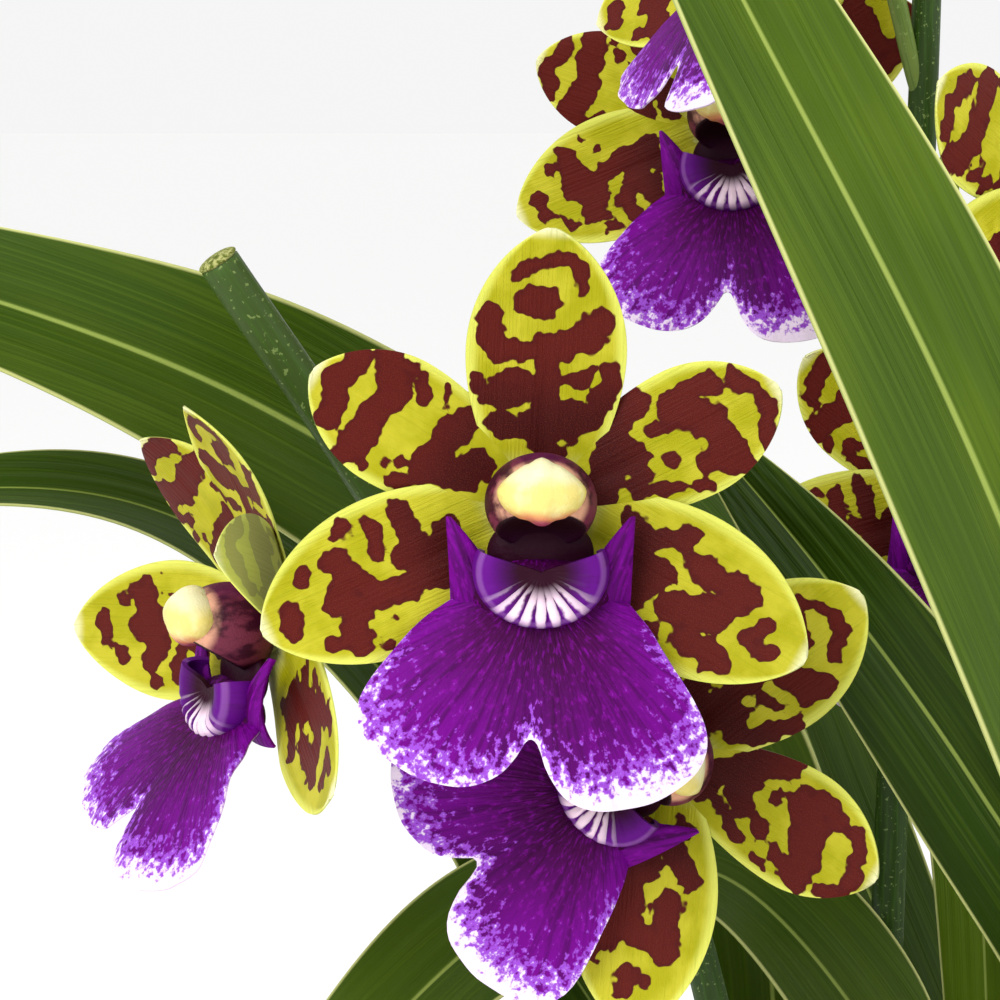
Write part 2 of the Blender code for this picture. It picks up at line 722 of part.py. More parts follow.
def pedicel_mesh(flower):
    """The stalk from the spike to the back of a flower."""
    centre, facing, _, _, _, spike, height = FLOWERS[flower]
    facing = Vector(facing).normalized()
    points = SPIKES[spike][0]
    start, _ = curve_point(points, spike_share(points, height))
    behind = RECEPTACLE_BACK + RECEPTACLE[1] + GAP + 0.1
    end = Vector(centre) - facing * behind
    reach = (end - start).length * PEDICEL_BEND
    bend = end - facing * reach
    first = start + ((end - start).normalized() + Vector((0, 0, 0.5))).normalized() * reach
    route = []
    for step in range(8):
        u = step / 7
        route.append(
            start * (1 - u) ** 3 + first * 3 * u * (1 - u) ** 2 + bend * 3 * u * u * (1 - u)
            + end * u ** 3
        )
    return rod(route, (PEDICEL_THIN, PEDICEL_RADIUS), 6, "pedicel", 1)


def bract_mesh(points, share, turn):
    """A small pointed scale that clasps the spike."""
    spot, way = curve_point(points, share)
    out = Matrix.Rotation(turn, 3, way) @ way.orthogonal().normalized()
    side = way.cross(out)

    def point(s, v):
        width = BRACT_HALF_WIDTH * (1.0 - s ** 2) + 0.35
        return spot + way * (s * BRACT_LENGTH) + out * (1.0 + 2.8 * s) + side * (v * width)

    return sheet(3, 2, point, 0.9, "bract")


def bud_mesh(spot, way, size):
    """A closed bud at the end of a spike."""
    bm = bmesh.new()
    bmesh.ops.create_uvsphere(bm, u_segments=8, v_segments=6, radius=1.0)
    turn = way.to_track_quat("Z", "Y")
    for vert in bm.verts:
        slim = 1.0 - 0.35 * max(vert.co.z, 0.0)
        local = Vector((vert.co.x * size * 0.5 * slim, vert.co.y * size * 0.5 * slim,
                        vert.co.z * size))
        vert.co = spot + turn @ local
    return from_bmesh(bm, "bud")


def spike_buds(points):
    """Three buds round the tip of a growing spike."""
    tip, way = curve_point(points, 1.0)
    meshes = [bud_mesh(tip + way * 5.0, way, 8.0)]
    for share, turn, size in BUDS:
        spot, along = curve_point(points, share)
        out = Matrix.Rotation(turn, 3, along) @ along.orthogonal().normalized()
        lean = (out + along * 0.9).normalized()
        meshes.append(rod((spot, spot + lean * BUD_STALK), (1.0, 1.2), 3, "bud_stalk", 1))
        meshes.append(bud_mesh(spot + lean * BUD_CENTRE, lean, size))
    return meshes


def make_spike(parts, mats, name):
    """A flower spike with its bracts, pedicels and, on the tall one, closed buds."""
    points, foot_radius, tip_radius = SPIKES[name]
    stem = rod(points, (foot_radius, tip_radius), 12, "stem")
    grown = [pedicel_mesh(flower) for flower, row in FLOWERS.items() if row[5] == name]
    grown += [bract_mesh(points, share, share * 9.0) for share in BRACTS[name]]
    if name == "back":
        grown += spike_buds(points)
    mesh = boolean(stem, grown, "UNION", "spike")
    return place(parts, f"spike_{name}", mesh, mats["stem"])


def shade(obj):
    """Smooth shading that keeps real edges."""
    obj.data.shade_smooth()
    obj.data.set_sharp_from_angle(angle=math.radians(40))


def main():
    """Build the potted orchid."""
    for obj in list(bpy.data.objects):
        bpy.data.objects.remove(obj, do_unlink=True)
    parts = bpy.data.collections.new("zygopetalum_orchid")
    bpy.context.scene.collection.children.link(parts)
    mats = make_materials()
    make_pot(parts, mats)
    make_bark(parts, mats)
    make_bulbs(parts, mats)
    for name in LEAVES:
        make_leaf(parts, mats, name)
    for name in SPIKES:
        make_spike(parts, mats, name)
    for flower in FLOWERS:
        make_flower(parts, mats, flower)
    for obj in parts.objects:
        shade(obj)


main()
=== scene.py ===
# %% [markdown]
# # Zygopetalum orchid in flower
# This is the dense visual model of a potted orchid: seven blooms on two spikes, an old cut
# spike, twelve strap leaves, a clump of pseudobulbs, bark chips and a clay pot. Each code cell
# makes one piece or one finish. The text before it says what that is on the real plant, how it
# could be made, and why it is made this way. The blooms look towards -Y.

import json
import math
import random

import bmesh
import bpy
import numpy as np
from mathutils import Matrix, Vector

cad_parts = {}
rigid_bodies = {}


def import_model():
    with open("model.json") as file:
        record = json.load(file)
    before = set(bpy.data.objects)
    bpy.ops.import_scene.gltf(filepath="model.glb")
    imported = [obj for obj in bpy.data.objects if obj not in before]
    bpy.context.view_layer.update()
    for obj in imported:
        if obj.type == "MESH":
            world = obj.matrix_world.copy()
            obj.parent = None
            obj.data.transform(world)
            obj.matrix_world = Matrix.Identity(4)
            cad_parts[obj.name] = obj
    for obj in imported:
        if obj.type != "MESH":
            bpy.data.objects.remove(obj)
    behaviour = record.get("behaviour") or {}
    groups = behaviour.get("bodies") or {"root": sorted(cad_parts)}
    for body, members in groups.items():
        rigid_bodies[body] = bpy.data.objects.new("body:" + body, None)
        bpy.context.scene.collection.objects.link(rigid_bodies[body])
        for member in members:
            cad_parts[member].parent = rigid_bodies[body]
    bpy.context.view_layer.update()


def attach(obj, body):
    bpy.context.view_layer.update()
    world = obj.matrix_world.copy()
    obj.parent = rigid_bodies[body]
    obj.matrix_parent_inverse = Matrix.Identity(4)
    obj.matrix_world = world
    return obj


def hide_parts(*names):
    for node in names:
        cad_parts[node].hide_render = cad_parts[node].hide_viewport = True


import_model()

# %% [markdown]
# ## Lengths and smooth lines
# Everything is worked out in millimetres, as one would measure a plant, and turned to metres
# only when a mesh is made. A leaf or a petal could be a curve with a bevel, but its edge has to
# swell, fold and wave. So each is a grid of points instead: s runs from its root to its tip, and
# v across it. The lines that leaves and stems follow pass smoothly through a few given points.

# %% Grids and smooth lines
MM = 0.001
SEED = 7


def grid(rows, columns):
    """s from 0 to 1 along the rows and v from -1 to 1 across the columns."""
    s, v = np.meshgrid(np.linspace(0, 1, rows + 1), np.linspace(-1, 1, columns + 1), indexing="ij")
    return s, v


def through(points, shares):
    """Points on the smooth curve through points, for an array of shares 0..1."""
    points = np.asarray(points, float)
    last = len(points) - 1
    padded = np.vstack([points[0] * 2 - points[1], points, points[-1] * 2 - points[-2]])
    place = np.clip(shares, 0, 1) * last
    i = np.minimum(place.astype(int), last - 1)
    u = (place - i)[..., None]
    p0, p1, p2, p3 = padded[i], padded[i + 1], padded[i + 2], padded[i + 3]
    bend = (p2 - p0) * u + (p0 * 2 - p1 * 5 + p2 * 4 - p3) * u**2
    return p1 + (bend + (p1 * 3 - p0 - p2 * 3 + p3) * u**3) * 0.5


def unit(array):
    """Each vector of an array at length 1."""
    return array / (np.linalg.norm(array, axis=-1, keepdims=True) + 1e-12)


print("a grid of 4 by 2 steps has", grid(4, 2)[0].size, "points")

# %% [markdown]
# ## Thin closed blades
# A petal is less than a millimetre thick, but it is no bare sheet: its rim catches the light. A
# Solidify modifier could thicken a sheet. Here the two faces and the rim are made at once, so
# that each corner can keep values for its finish, such as how far out it lies and whether it is
# on the upper side (1) or the lower one (-1). A bit is such a closed shape with its values.

# %% Bits and blades
def bit(verts, faces, slot=0, **fields):
    """A closed shape with the values kept on its corners."""
    return {"verts": np.asarray(verts, float), "faces": faces, "slot": slot, "fields": fields}


def blade(points, thickness, slot=0, **fields):
    """A thin closed blade round a grid of points; fields are values on the grid."""
    rows, columns = points.shape[:2]
    normal = unit(np.cross(np.gradient(points, axis=1), np.gradient(points, axis=0)))
    half = normal * (np.broadcast_to(thickness, (rows, columns))[..., None] / 2)
    verts = np.concatenate([(points + half).reshape(-1, 3), (points - half).reshape(-1, 3)])
    i = np.arange(rows * columns).reshape(rows, columns)
    top = np.stack([i[:-1, :-1], i[:-1, 1:], i[1:, 1:], i[1:, :-1]], -1).reshape(-1, 4)
    edge = np.concatenate([i[0, :-1], i[:-1, -1], i[-1, :0:-1], i[:0:-1, 0]])
    after = np.roll(edge, -1)
    count = rows * columns
    rim = np.stack([after, edge, edge + count, after + count], -1)
    faces = np.concatenate([top, top[:, ::-1] + count, rim])
    both = {}
    for name, value in fields.items():
        wide = np.broadcast_to(value, (rows, columns) + np.shape(value)[2:])
        flat = wide.reshape(count, *wide.shape[2:])
        both[name] = np.concatenate([flat, flat])
    both["side"] = np.concatenate([np.ones(count), -np.ones(count)])
    return bit(verts, faces.tolist(), slot, **both)


flat = np.stack([*grid(2, 2), np.zeros((3, 3))], -1)
print("a blade of 3 by 3 points has", len(blade(flat, 0.1)["faces"]), "faces")

# %% [markdown]
# ## Turned bodies and rods
# Bulbs, buds and the pot are round, and stems are rods that bend. Spin or a bevelled curve would
# make them too, but rings of corners laid by a formula can carry ribs, seams and a hand's
# unevenness. Both ends are closed by a fan of triangles to one point.

# %% Lathe and ball
BALL_SIDES, BALL_RINGS = 40, 24


def ring_faces(rings, sides):
    """Faces between rings of corners, and fans to the two end points that follow them."""
    i = np.arange(rings * sides).reshape(rings, sides)
    beside = np.roll(i, -1, axis=1)
    faces = np.stack([i[:-1], beside[:-1], beside[1:], i[1:]], -1).reshape(-1, 4).tolist()
    first, last = rings * sides, rings * sides + 1
    faces += [[beside[0, k], i[0, k], first] for k in range(sides)]
    faces += [[i[-1, k], beside[-1, k], last] for k in range(sides)]
    return faces


def lathe(profile, sides, slot=0, wobble=None, **fields):
    """A closed body turned round Z; the profile runs from its first to its last point."""
    profile = np.asarray(profile, float)
    turn = np.linspace(0, 2 * np.pi, sides, endpoint=False)
    radius = profile[1:-1, :1] * np.ones(sides)
    if wobble is not None:
        radius = wobble(radius, turn, profile[1:-1, 1:])
    rings = np.stack([radius * np.cos(turn), radius * np.sin(turn),
                      profile[1:-1, 1:] * np.ones(sides)], -1)
    ends = [(0, 0, profile[0, 1]), (0, 0, profile[-1, 1])]
    verts = np.concatenate([rings.reshape(-1, 3), ends])
    return bit(verts, ring_faces(len(profile) - 2, sides), slot, **fields)


def ball(centre, radii, sides=BALL_SIDES, rings=BALL_RINGS, slot=0, bulge=None):
    """A closed ellipsoid."""
    polar = np.linspace(0, np.pi, rings + 2)
    body = lathe(np.stack([np.sin(polar), np.cos(polar)], -1), sides, slot)
    verts = body["verts"]
    if bulge is not None:
        verts = verts * bulge(verts)[:, None]
    body["verts"] = verts * np.asarray(radii, float) + np.asarray(centre, float)
    return body


print("a ball has", len(ball((0, 0, 0), (1, 1, 1))["faces"]), "faces")

# %% Rods
ROD_END_SHARE = 0.6   # how wide a rod's last ring is, as a share of its radius
ROD_END_REACH = 0.35  # and how far that ring stands out, in radii
ROD_TIP_REACH = 0.08  # the closing point, in radii past the last ring


def tube(points, radii, sides=20, slot=0, **fields):
    """A closed rod along points, its ends a little rounded."""
    points = np.asarray(points, float)
    count = len(points)
    radii = np.broadcast_to(radii, count).astype(float)
    way = unit(np.gradient(points, axis=0))
    turn = np.linspace(0, 2 * np.pi, sides, endpoint=False)
    across = Vector(way[0]).orthogonal().normalized()
    circles = []
    for step in range(count):
        along = Vector(way[step])
        across = (across - along * across.dot(along)).normalized()
        beside = np.array(along.cross(across))
        circles.append(np.cos(turn)[:, None] * np.array(across) + np.sin(turn)[:, None] * beside)
    steps = [0, *range(count), count - 1]
    share = [ROD_END_SHARE] + [1.0] * count + [ROD_END_SHARE]
    reach = [-ROD_END_REACH] + [0.0] * count + [ROD_END_REACH]
    rings = [points[i] + circles[i] * radii[i] * wide + way[i] * radii[i] * out
             for i, wide, out in zip(steps, share, reach)]
    ends = [rings[0].mean(0) - way[0] * radii[0] * ROD_TIP_REACH,
            rings[-1].mean(0) + way[-1] * radii[-1] * ROD_TIP_REACH]
    run = np.concatenate([[0], np.cumsum(np.linalg.norm(np.diff(points, axis=0), axis=1))])
    run, round_it = np.meshgrid(run[steps], turn * radii.mean(), indexing="ij")
    flat = np.stack([round_it, run, np.zeros_like(run)], -1).reshape(-1, 3)
    place = np.vstack([flat, (0, 0, 0), (0, run[-1, 0], 0)])
    verts = np.vstack([np.concatenate(rings), ends])
    return bit(verts, ring_faces(count + 2, sides), slot, place=place, **fields)


print("a rod of 5 points has", len(tube(np.eye(5, 3).cumsum(0), 0.1)["faces"]), "faces")

# %% [markdown]
# ## From bits to pieces
# A bloom's lip has a fan, ears and a callus that grew together, so they end up in one mesh. Its
# corners keep their values as attributes. Joining objects with Join would do it as well, but the
# arrays are already here. Every closed shape then has its faces turned outwards and is shaded
# smooth, except over real edges, and it is tied to the CAD nodes that it stands for.

# %% Meshes from bits
def mesh_of(name, bits, matrix=None):
    """One mesh from several bits, with their values as attributes, in metres."""
    verts, faces, slots, start = [], [], [], 0
    names = sorted({key for one in bits for key in one["fields"]})
    values = {key: [] for key in names}
    widths = {key: max(np.ndim(one["fields"].get(key, 0.0)) for one in bits) for key in names}
    for one in bits:
        count = len(one["verts"])
        verts.append(one["verts"])
        faces += [[corner + start for corner in face] for face in one["faces"]]
        slots += [one["slot"]] * len(one["faces"])
        for key in names:
            shape = (count, 3) if widths[key] == 2 else (count,)
            values[key].append(np.broadcast_to(one["fields"].get(key, 0.0), shape))
        start += count
    mesh = bpy.data.meshes.new(name)
    mesh.from_pydata((np.vstack(verts) * MM).tolist(), [], faces)
    mesh.polygons.foreach_set("material_index", slots)
    for key in names:
        data = np.concatenate(values[key])
        kind = "FLOAT_VECTOR" if data.ndim == 2 else "FLOAT"
        layer = mesh.attributes.new(key, kind, "POINT")
        layer.data.foreach_set("vector" if data.ndim == 2 else "value", data.ravel())
    if matrix is not None:
        mesh.transform(matrix)
    return mesh

# %% Pieces and working objects
SHARP_EDGE = 50.0  # degrees; a flatter edge is shaded smooth


def outward(mesh):
    """All faces of a closed mesh point out, shaded smooth but for real edges."""
    bm = bmesh.new()
    bm.from_mesh(mesh)
    bmesh.ops.recalc_face_normals(bm, faces=bm.faces)
    bm.to_mesh(mesh)
    bm.free()
    mesh.shade_smooth()
    mesh.set_sharp_from_angle(angle=math.radians(SHARP_EDGE))


def piece(name, mesh, materials, nodes):
    """A finished piece that stands for CAD nodes."""
    for number, mat in enumerate(materials):
        if number < len(mesh.materials):
            mesh.materials[number] = mat
        else:
            mesh.materials.append(mat)
    outward(mesh)
    obj = bpy.data.objects.new(name, mesh)
    bpy.context.scene.collection.objects.link(obj)
    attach(obj, "root")
    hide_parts(*nodes)
    return obj


def evaluated(obj):
    """The mesh of a working object with its modifiers applied; the object goes."""
    bpy.context.view_layer.update()
    graph = bpy.context.evaluated_depsgraph_get()
    mesh = bpy.data.meshes.new_from_object(obj.evaluated_get(graph))
    bpy.data.objects.remove(obj, do_unlink=True)
    return mesh


def work_object(name, mesh):
    """An object that only helps to make a mesh."""
    obj = bpy.data.objects.new(name, mesh)
    bpy.context.scene.collection.objects.link(obj)
    return obj


print("pieces ride on the body root")

# %% [markdown]
# ## Colours and node trees
# A finish is a tree of nodes. Clicking it together is quick once, but a script can be read,
# changed and made again. One small function adds any node with its settings and links, so there
# is nothing more to learn than Blender's own names. Colours are the sRGB hex codes that one
# reads off a picture, turned to linear light in one place.

# %% One function for any node
def linear(code):
    """An sRGB hex code as linear RGBA."""
    shares = [int(code[i:i + 2], 16) / 255 for i in (1, 3, 5)]
    return (*[c / 12.92 if c <= 0.04045 else ((c + 0.055) / 1.055) ** 2.4 for c in shares], 1.0)


def put(tree, kind, inputs=(), out=0, **settings):
    """Add a node and return one of its outputs; inputs are values or other outputs."""
    made = tree.nodes.new(kind)
    for name, value in settings.items():
        setattr(made, name, value)
    if not isinstance(inputs, dict):
        inputs = dict(enumerate(inputs))
    for name, value in inputs.items():
        if isinstance(value, bpy.types.NodeSocket):
            tree.links.new(value, made.inputs[name])
        else:
            made.inputs[name].default_value = value
    return made.outputs[out] if len(made.outputs) else made


print("mid grey is", round(linear("#808080")[0], 3), "in linear light")

# %% [markdown]
# ## Coats of colour
# Plant skin is painted here as a painter would: a ground colour, then coat after coat, each
# where some value rises. A coat's share is a product of smooth rises, so it can be held to the
# rim, the tip or a spot of noise. A colour ramp for each would do too, but this reads as a
# list. Sizes are in millimetres: grain(..., 0.5) has cells about 2 mm wide.

# %% Grain, shares and coats
def grain(tree, vector, scale, stretch=(1.0, 1.0, 1.0), detail=3.0, rough=0.55):
    """Noise with scale cells to the millimetre, squeezed by stretch along each axis."""
    spot = put(tree, "ShaderNodeVectorMath", (vector, stretch), operation="MULTIPLY")
    return put(tree, "ShaderNodeTexNoise", {
        "Vector": spot, "Scale": scale, "Detail": detail, "Roughness": rough})


def sway(tree, value, noise, reach):
    """Push a value up and down with noise, by half of reach at most."""
    shift = put(tree, "ShaderNodeMath", (noise, 0.5), operation="SUBTRACT")
    return put(tree, "ShaderNodeMath", (shift, reach, value), operation="MULTIPLY_ADD")


def share(tree, *rises):
    """A product of rises: each a ready value, or (value, start, end, full, low if not 0)."""
    covered = None
    for rise in rises:
        if not isinstance(rise, bpy.types.NodeSocket):
            value, start, end, full, *low = rise
            rise = put(tree, "ShaderNodeMapRange", {
                "Value": value, "From Min": start, "From Max": end,
                "To Min": low[0] if low else 0.0, "To Max": full},
                interpolation_type="SMOOTHSTEP")
        if covered is not None:
            rise = put(tree, "ShaderNodeMath", (covered, rise), operation="MULTIPLY")
        covered = rise
    return covered


def coats(tree, ground, *layers):
    """Colours laid over a ground in turn; a layer is its rises and then its colour."""
    colour = linear(ground) if isinstance(ground, str) else ground
    for *rises, over in layers:
        over = linear(over) if isinstance(over, str) else over
        colour = put(tree, "ShaderNodeMix", {0: share(tree, *rises), 6: colour, 7: over}, 2,
                     data_type="RGBA")
    return colour


print("coats ready")

# %% [markdown]
# ## Living and dry tissue
# All finishes but the floor's share one start and one end. They start with the values that the
# meshes keep on their corners, or with the place on the object in millimetres. They end with a
# colour and a fine relief. Light enters thin flesh a little before it comes out again, so wet
# tissue gets some subsurface light with red reaching furthest. Dry tissue gets none.

# %% Tissue and its relief
FLESH_RADIUS = (1.0, 0.6, 0.3)  # how far red, green and blue reach into flesh
FLESH_SCALE = 1.2 * MM


def tissue(name, marks, roughness, specular, flesh=0.0):
    """A material, its tree, and a value for each of marks, named in one string.

    place and the others are kept on the corners; spot is the object's own place in mm.
    """
    mat = bpy.data.materials.new(name)
    mat.use_nodes = True
    tree = mat.node_tree
    shader = tree.nodes["Principled BSDF"]
    shader.inputs["Roughness"].default_value = roughness
    shader.inputs["Specular IOR Level"].default_value = specular
    shader.inputs["Subsurface Weight"].default_value = flesh
    shader.inputs["Subsurface Radius"].default_value = FLESH_RADIUS
    shader.inputs["Subsurface Scale"].default_value = FLESH_SCALE
    values = []
    for mark in marks.split():
        if mark == "spot":
            metres = put(tree, "ShaderNodeTexCoord", out=3)
            values.append(put(tree, "ShaderNodeVectorMath", {0: metres, "Scale": 1 / MM},
                              operation="SCALE"))
        else:
            out = 1 if mark == "place" else 2
            values.append(put(tree, "ShaderNodeAttribute", out=out, attribute_name=mark))
    return mat, tree, *values


def dress(mat, colour, height, depth):
    """Give a material its colour, and a relief of height times depth in millimetres."""
    tree = mat.node_tree
    shader = tree.nodes["Principled BSDF"]
    bump = put(tree, "ShaderNodeBump", {"Height": height, "Distance": depth * MM, "Strength": 1.0})
    tree.links.new(colour, shader.inputs["Base Color"])
    tree.links.new(bump, shader.inputs["Normal"])
    return mat


print("light reaches", FLESH_SCALE * 1000, "mm into flesh")

# %% [markdown]
# ## Where the blooms sit
# Three blooms sit on the front spike and four on the back one. Each bloom is made in its own
# frame, facing -Y, and then placed. An empty could be its parent, but a finished
# object stays unturned at the origin, so the matrix goes into the mesh.

# %% Flowers and their places
# Centre, facing, roll in degrees, curl of the tepals and lean of the lip in radians, the
# spike that carries it, and the height where its stalk leaves that spike
FLOWERS = {
    "main": ((-65, -55, 300), (0.0, -1.0, 0.10), 0, 0.34, 0.42, "front", 283),
    "left": ((-103, -34, 278), (-0.86, -0.50, 0.10), 0, 0.95, 0.84, "front", 266),
    "lower": ((-48, -39, 263), (-0.10, -0.99, 0.05), -58, 0.30, 0.50, "front", 240),
    "upper": ((-31, 34, 349), (-0.20, -0.97, 0.10), 4, 0.30, 0.50, "back", 300),
    "top": ((-29, 1, 383), (-0.92, -0.38, 0.02), 6, 0.80, 0.75, "back", 352),
    "right": ((14, -12, 338), (0.45, -0.88, 0.10), 4, 0.35, 0.50, "back", 312),
    "inner": ((2, -6, 292), (-0.10, -0.98, 0.10), -8, 0.30, 0.55, "back", 272),
}


def flower_matrix(flower):
    """Place and turn of a flower: its face looks along facing, rolled about it."""
    centre, facing, roll = FLOWERS[flower][:3]
    back = -Vector(facing).normalized()
    up = (Vector((0, 0, 1)) - back * back.z).normalized()
    right = back.cross(up)
    turn = Matrix((right, back, up)).transposed().to_4x4()
    rolled = turn @ Matrix.Rotation(-math.radians(roll), 4, "Y")
    return Matrix.Translation(Vector(centre) * MM) @ rolled


print(len(FLOWERS), "blooms")

# %% [markdown]
# ## Finish of the tepals
# A zygopetalum tepal is waxy yellow-green with maroon-brown blotches. Their edges wander like
# ink on wet paper: waves about 2 mm long and frays of 1 mm, hence noise of 0.45 and 1 cell to
# the millimetre, which moves the blotch's own distance value. Fine veins run along the tepal,
# and the skin's cells, far under 0.1 mm, are drawn 0.15 mm wide to show. The back is paler.

# %% Waxy blotched skin
def tepal_finish():
    """Waxy skin: a soft gloss, a paler rim and tip, velvety blotches."""
    mat, tree, place, blotch, along, across, side = tissue(
        "zygopetalum_tepal", "place blotch along across side", 0.48, 0.12, flesh=0.06)
    edge = sway(tree, blotch, grain(tree, place, 0.45, detail=0.0), 2.2)
    edge = sway(tree, edge, grain(tree, place, 1.0, detail=0.0), 0.9)
    edge = put(tree, "ShaderNodeMath", (edge, 0.10), operation="SUBTRACT")
    veins = grain(tree, place, 1.0, (0.10, 2.4, 1.0), detail=2.0)
    cells = grain(tree, place, 7.0, detail=1.0)
    ground = coats(
        tree, "#a9a50e",
        ((grain(tree, place, 0.16), 0.35, 0.65, 1.0), "#c1ba2c"),
        ((across, 0.80, 0.98, 1.0), "#dbdd62"),
        ((along, 0.16, 0.02, 1.0), "#d5d78c"),
        ((along, 0.95, 1.0, 1.0), "#eceab4"),
        ((veins, 0.5, 0.75, 0.25), "#8f9e0e"))
    maroon = coats(
        tree, "#3a0506",
        ((along, 0.25, 0.55, 1.0), "#56110c"),
        ((cells, 0.48, 0.72, 0.5), "#7e2f1c"),
        ((edge, -0.9, -0.1, 0.55), "#470a0b"))
    colour = coats(tree, ground, ((edge, 0.10, -0.10, 1.0), maroon),
                   ((side, 0.2, -0.2, 0.62), "#a9b45c"))
    height = put(tree, "ShaderNodeMath", (cells, 0.35, veins), operation="MULTIPLY_ADD")
    return dress(mat, colour, height, 0.22)


TEPAL = tepal_finish()
print(TEPAL.name, len(TEPAL.node_tree.nodes), "nodes")

# %% [markdown]
# ## Shape of a tepal
# Three sepals and two petals stand round the column, and all five are called tepals. Each is
# a boat-shaped blade that widens, rounds off at its tip and curls forward. A sculpted mesh bent
# by a modifier could do it. A formula keeps the real lengths, and one table gives each kind its
# own shape.

# %% Tepal shape
TEPAL_ROOT = 2.5    # mm from the flower's middle to where the blades start
TEPAL_START = 0.06  # radians that a blade leans forward at its root
TEPAL_WAVE = 0.35   # mm that the edge waves
TEPAL_KEEL = 0.45   # mm that the midline is raised at the root
# Length, half width, where it is widest, half width at the root as a share, cup
SEPAL = (34.5, 10.3, 0.52, 0.50, 0.10)
LATERAL = (37.0, 10.4, 0.50, 0.45, 0.10)
PETAL = (32.5, 8.6, 0.60, 0.42, -0.05)
TEPALS = (
    ("dorsal", 88.0, SEPAL),
    ("petal_left", 148.0, PETAL),
    ("petal_right", 28.0, PETAL),
    ("lateral_left", 203.0, LATERAL),
    ("lateral_right", -29.0, LATERAL),
)


def tepal_width(t, shape):
    """Half width of a tepal, t 0 at its root and 1 at its tip."""
    _, half_width, widest, root, _ = shape
    low = root + (1.0 - root) * np.sin(np.minimum(t / widest, 1.0) * np.pi / 2)
    high = (1.0 - (np.maximum(t - widest, 0.0) / (1.0 - widest)) ** 2.0).clip(0) ** 0.68
    return np.maximum(half_width * np.where(t < widest, low, high), 0.35)


def tepal_points(shape, angle, curl, phase, s, v):
    """Points of a tepal in the flower's frame, and how far out and across they are."""
    length, half_width, _, _, cup = shape
    t = np.sin(s * np.pi / 2)
    along = length * (np.sin(TEPAL_START + curl * t) - math.sin(TEPAL_START)) / curl
    forward = length * (math.cos(TEPAL_START) - np.cos(TEPAL_START + curl * t)) / curl
    across = v * tepal_width(t, shape)
    forward = forward + cup * across * across / half_width * np.minimum(t * 2.5, 1.0)
    ripple = np.sin(t * 9.0 + phase + np.where(v > 0, 2.0, 0.0) * v)
    forward = forward + TEPAL_WAVE * ripple * v * v * t
    keel = TEPAL_KEEL * np.exp(-((across / 1.2) ** 2)) * (1.0 - t)
    reach = TEPAL_ROOT + along
    turn = math.radians(angle)
    out = np.array((math.cos(turn), 0.0, math.sin(turn)))
    sideways = np.array((math.sin(turn), 0.0, -math.cos(turn)))
    points = reach[..., None] * out + across[..., None] * sideways
    points[..., 1] -= forward - keel
    return points, TEPAL_ROOT + length * t, across, t


print("a sepal is", SEPAL[0], "mm long and", 2 * SEPAL[1], "mm wide")
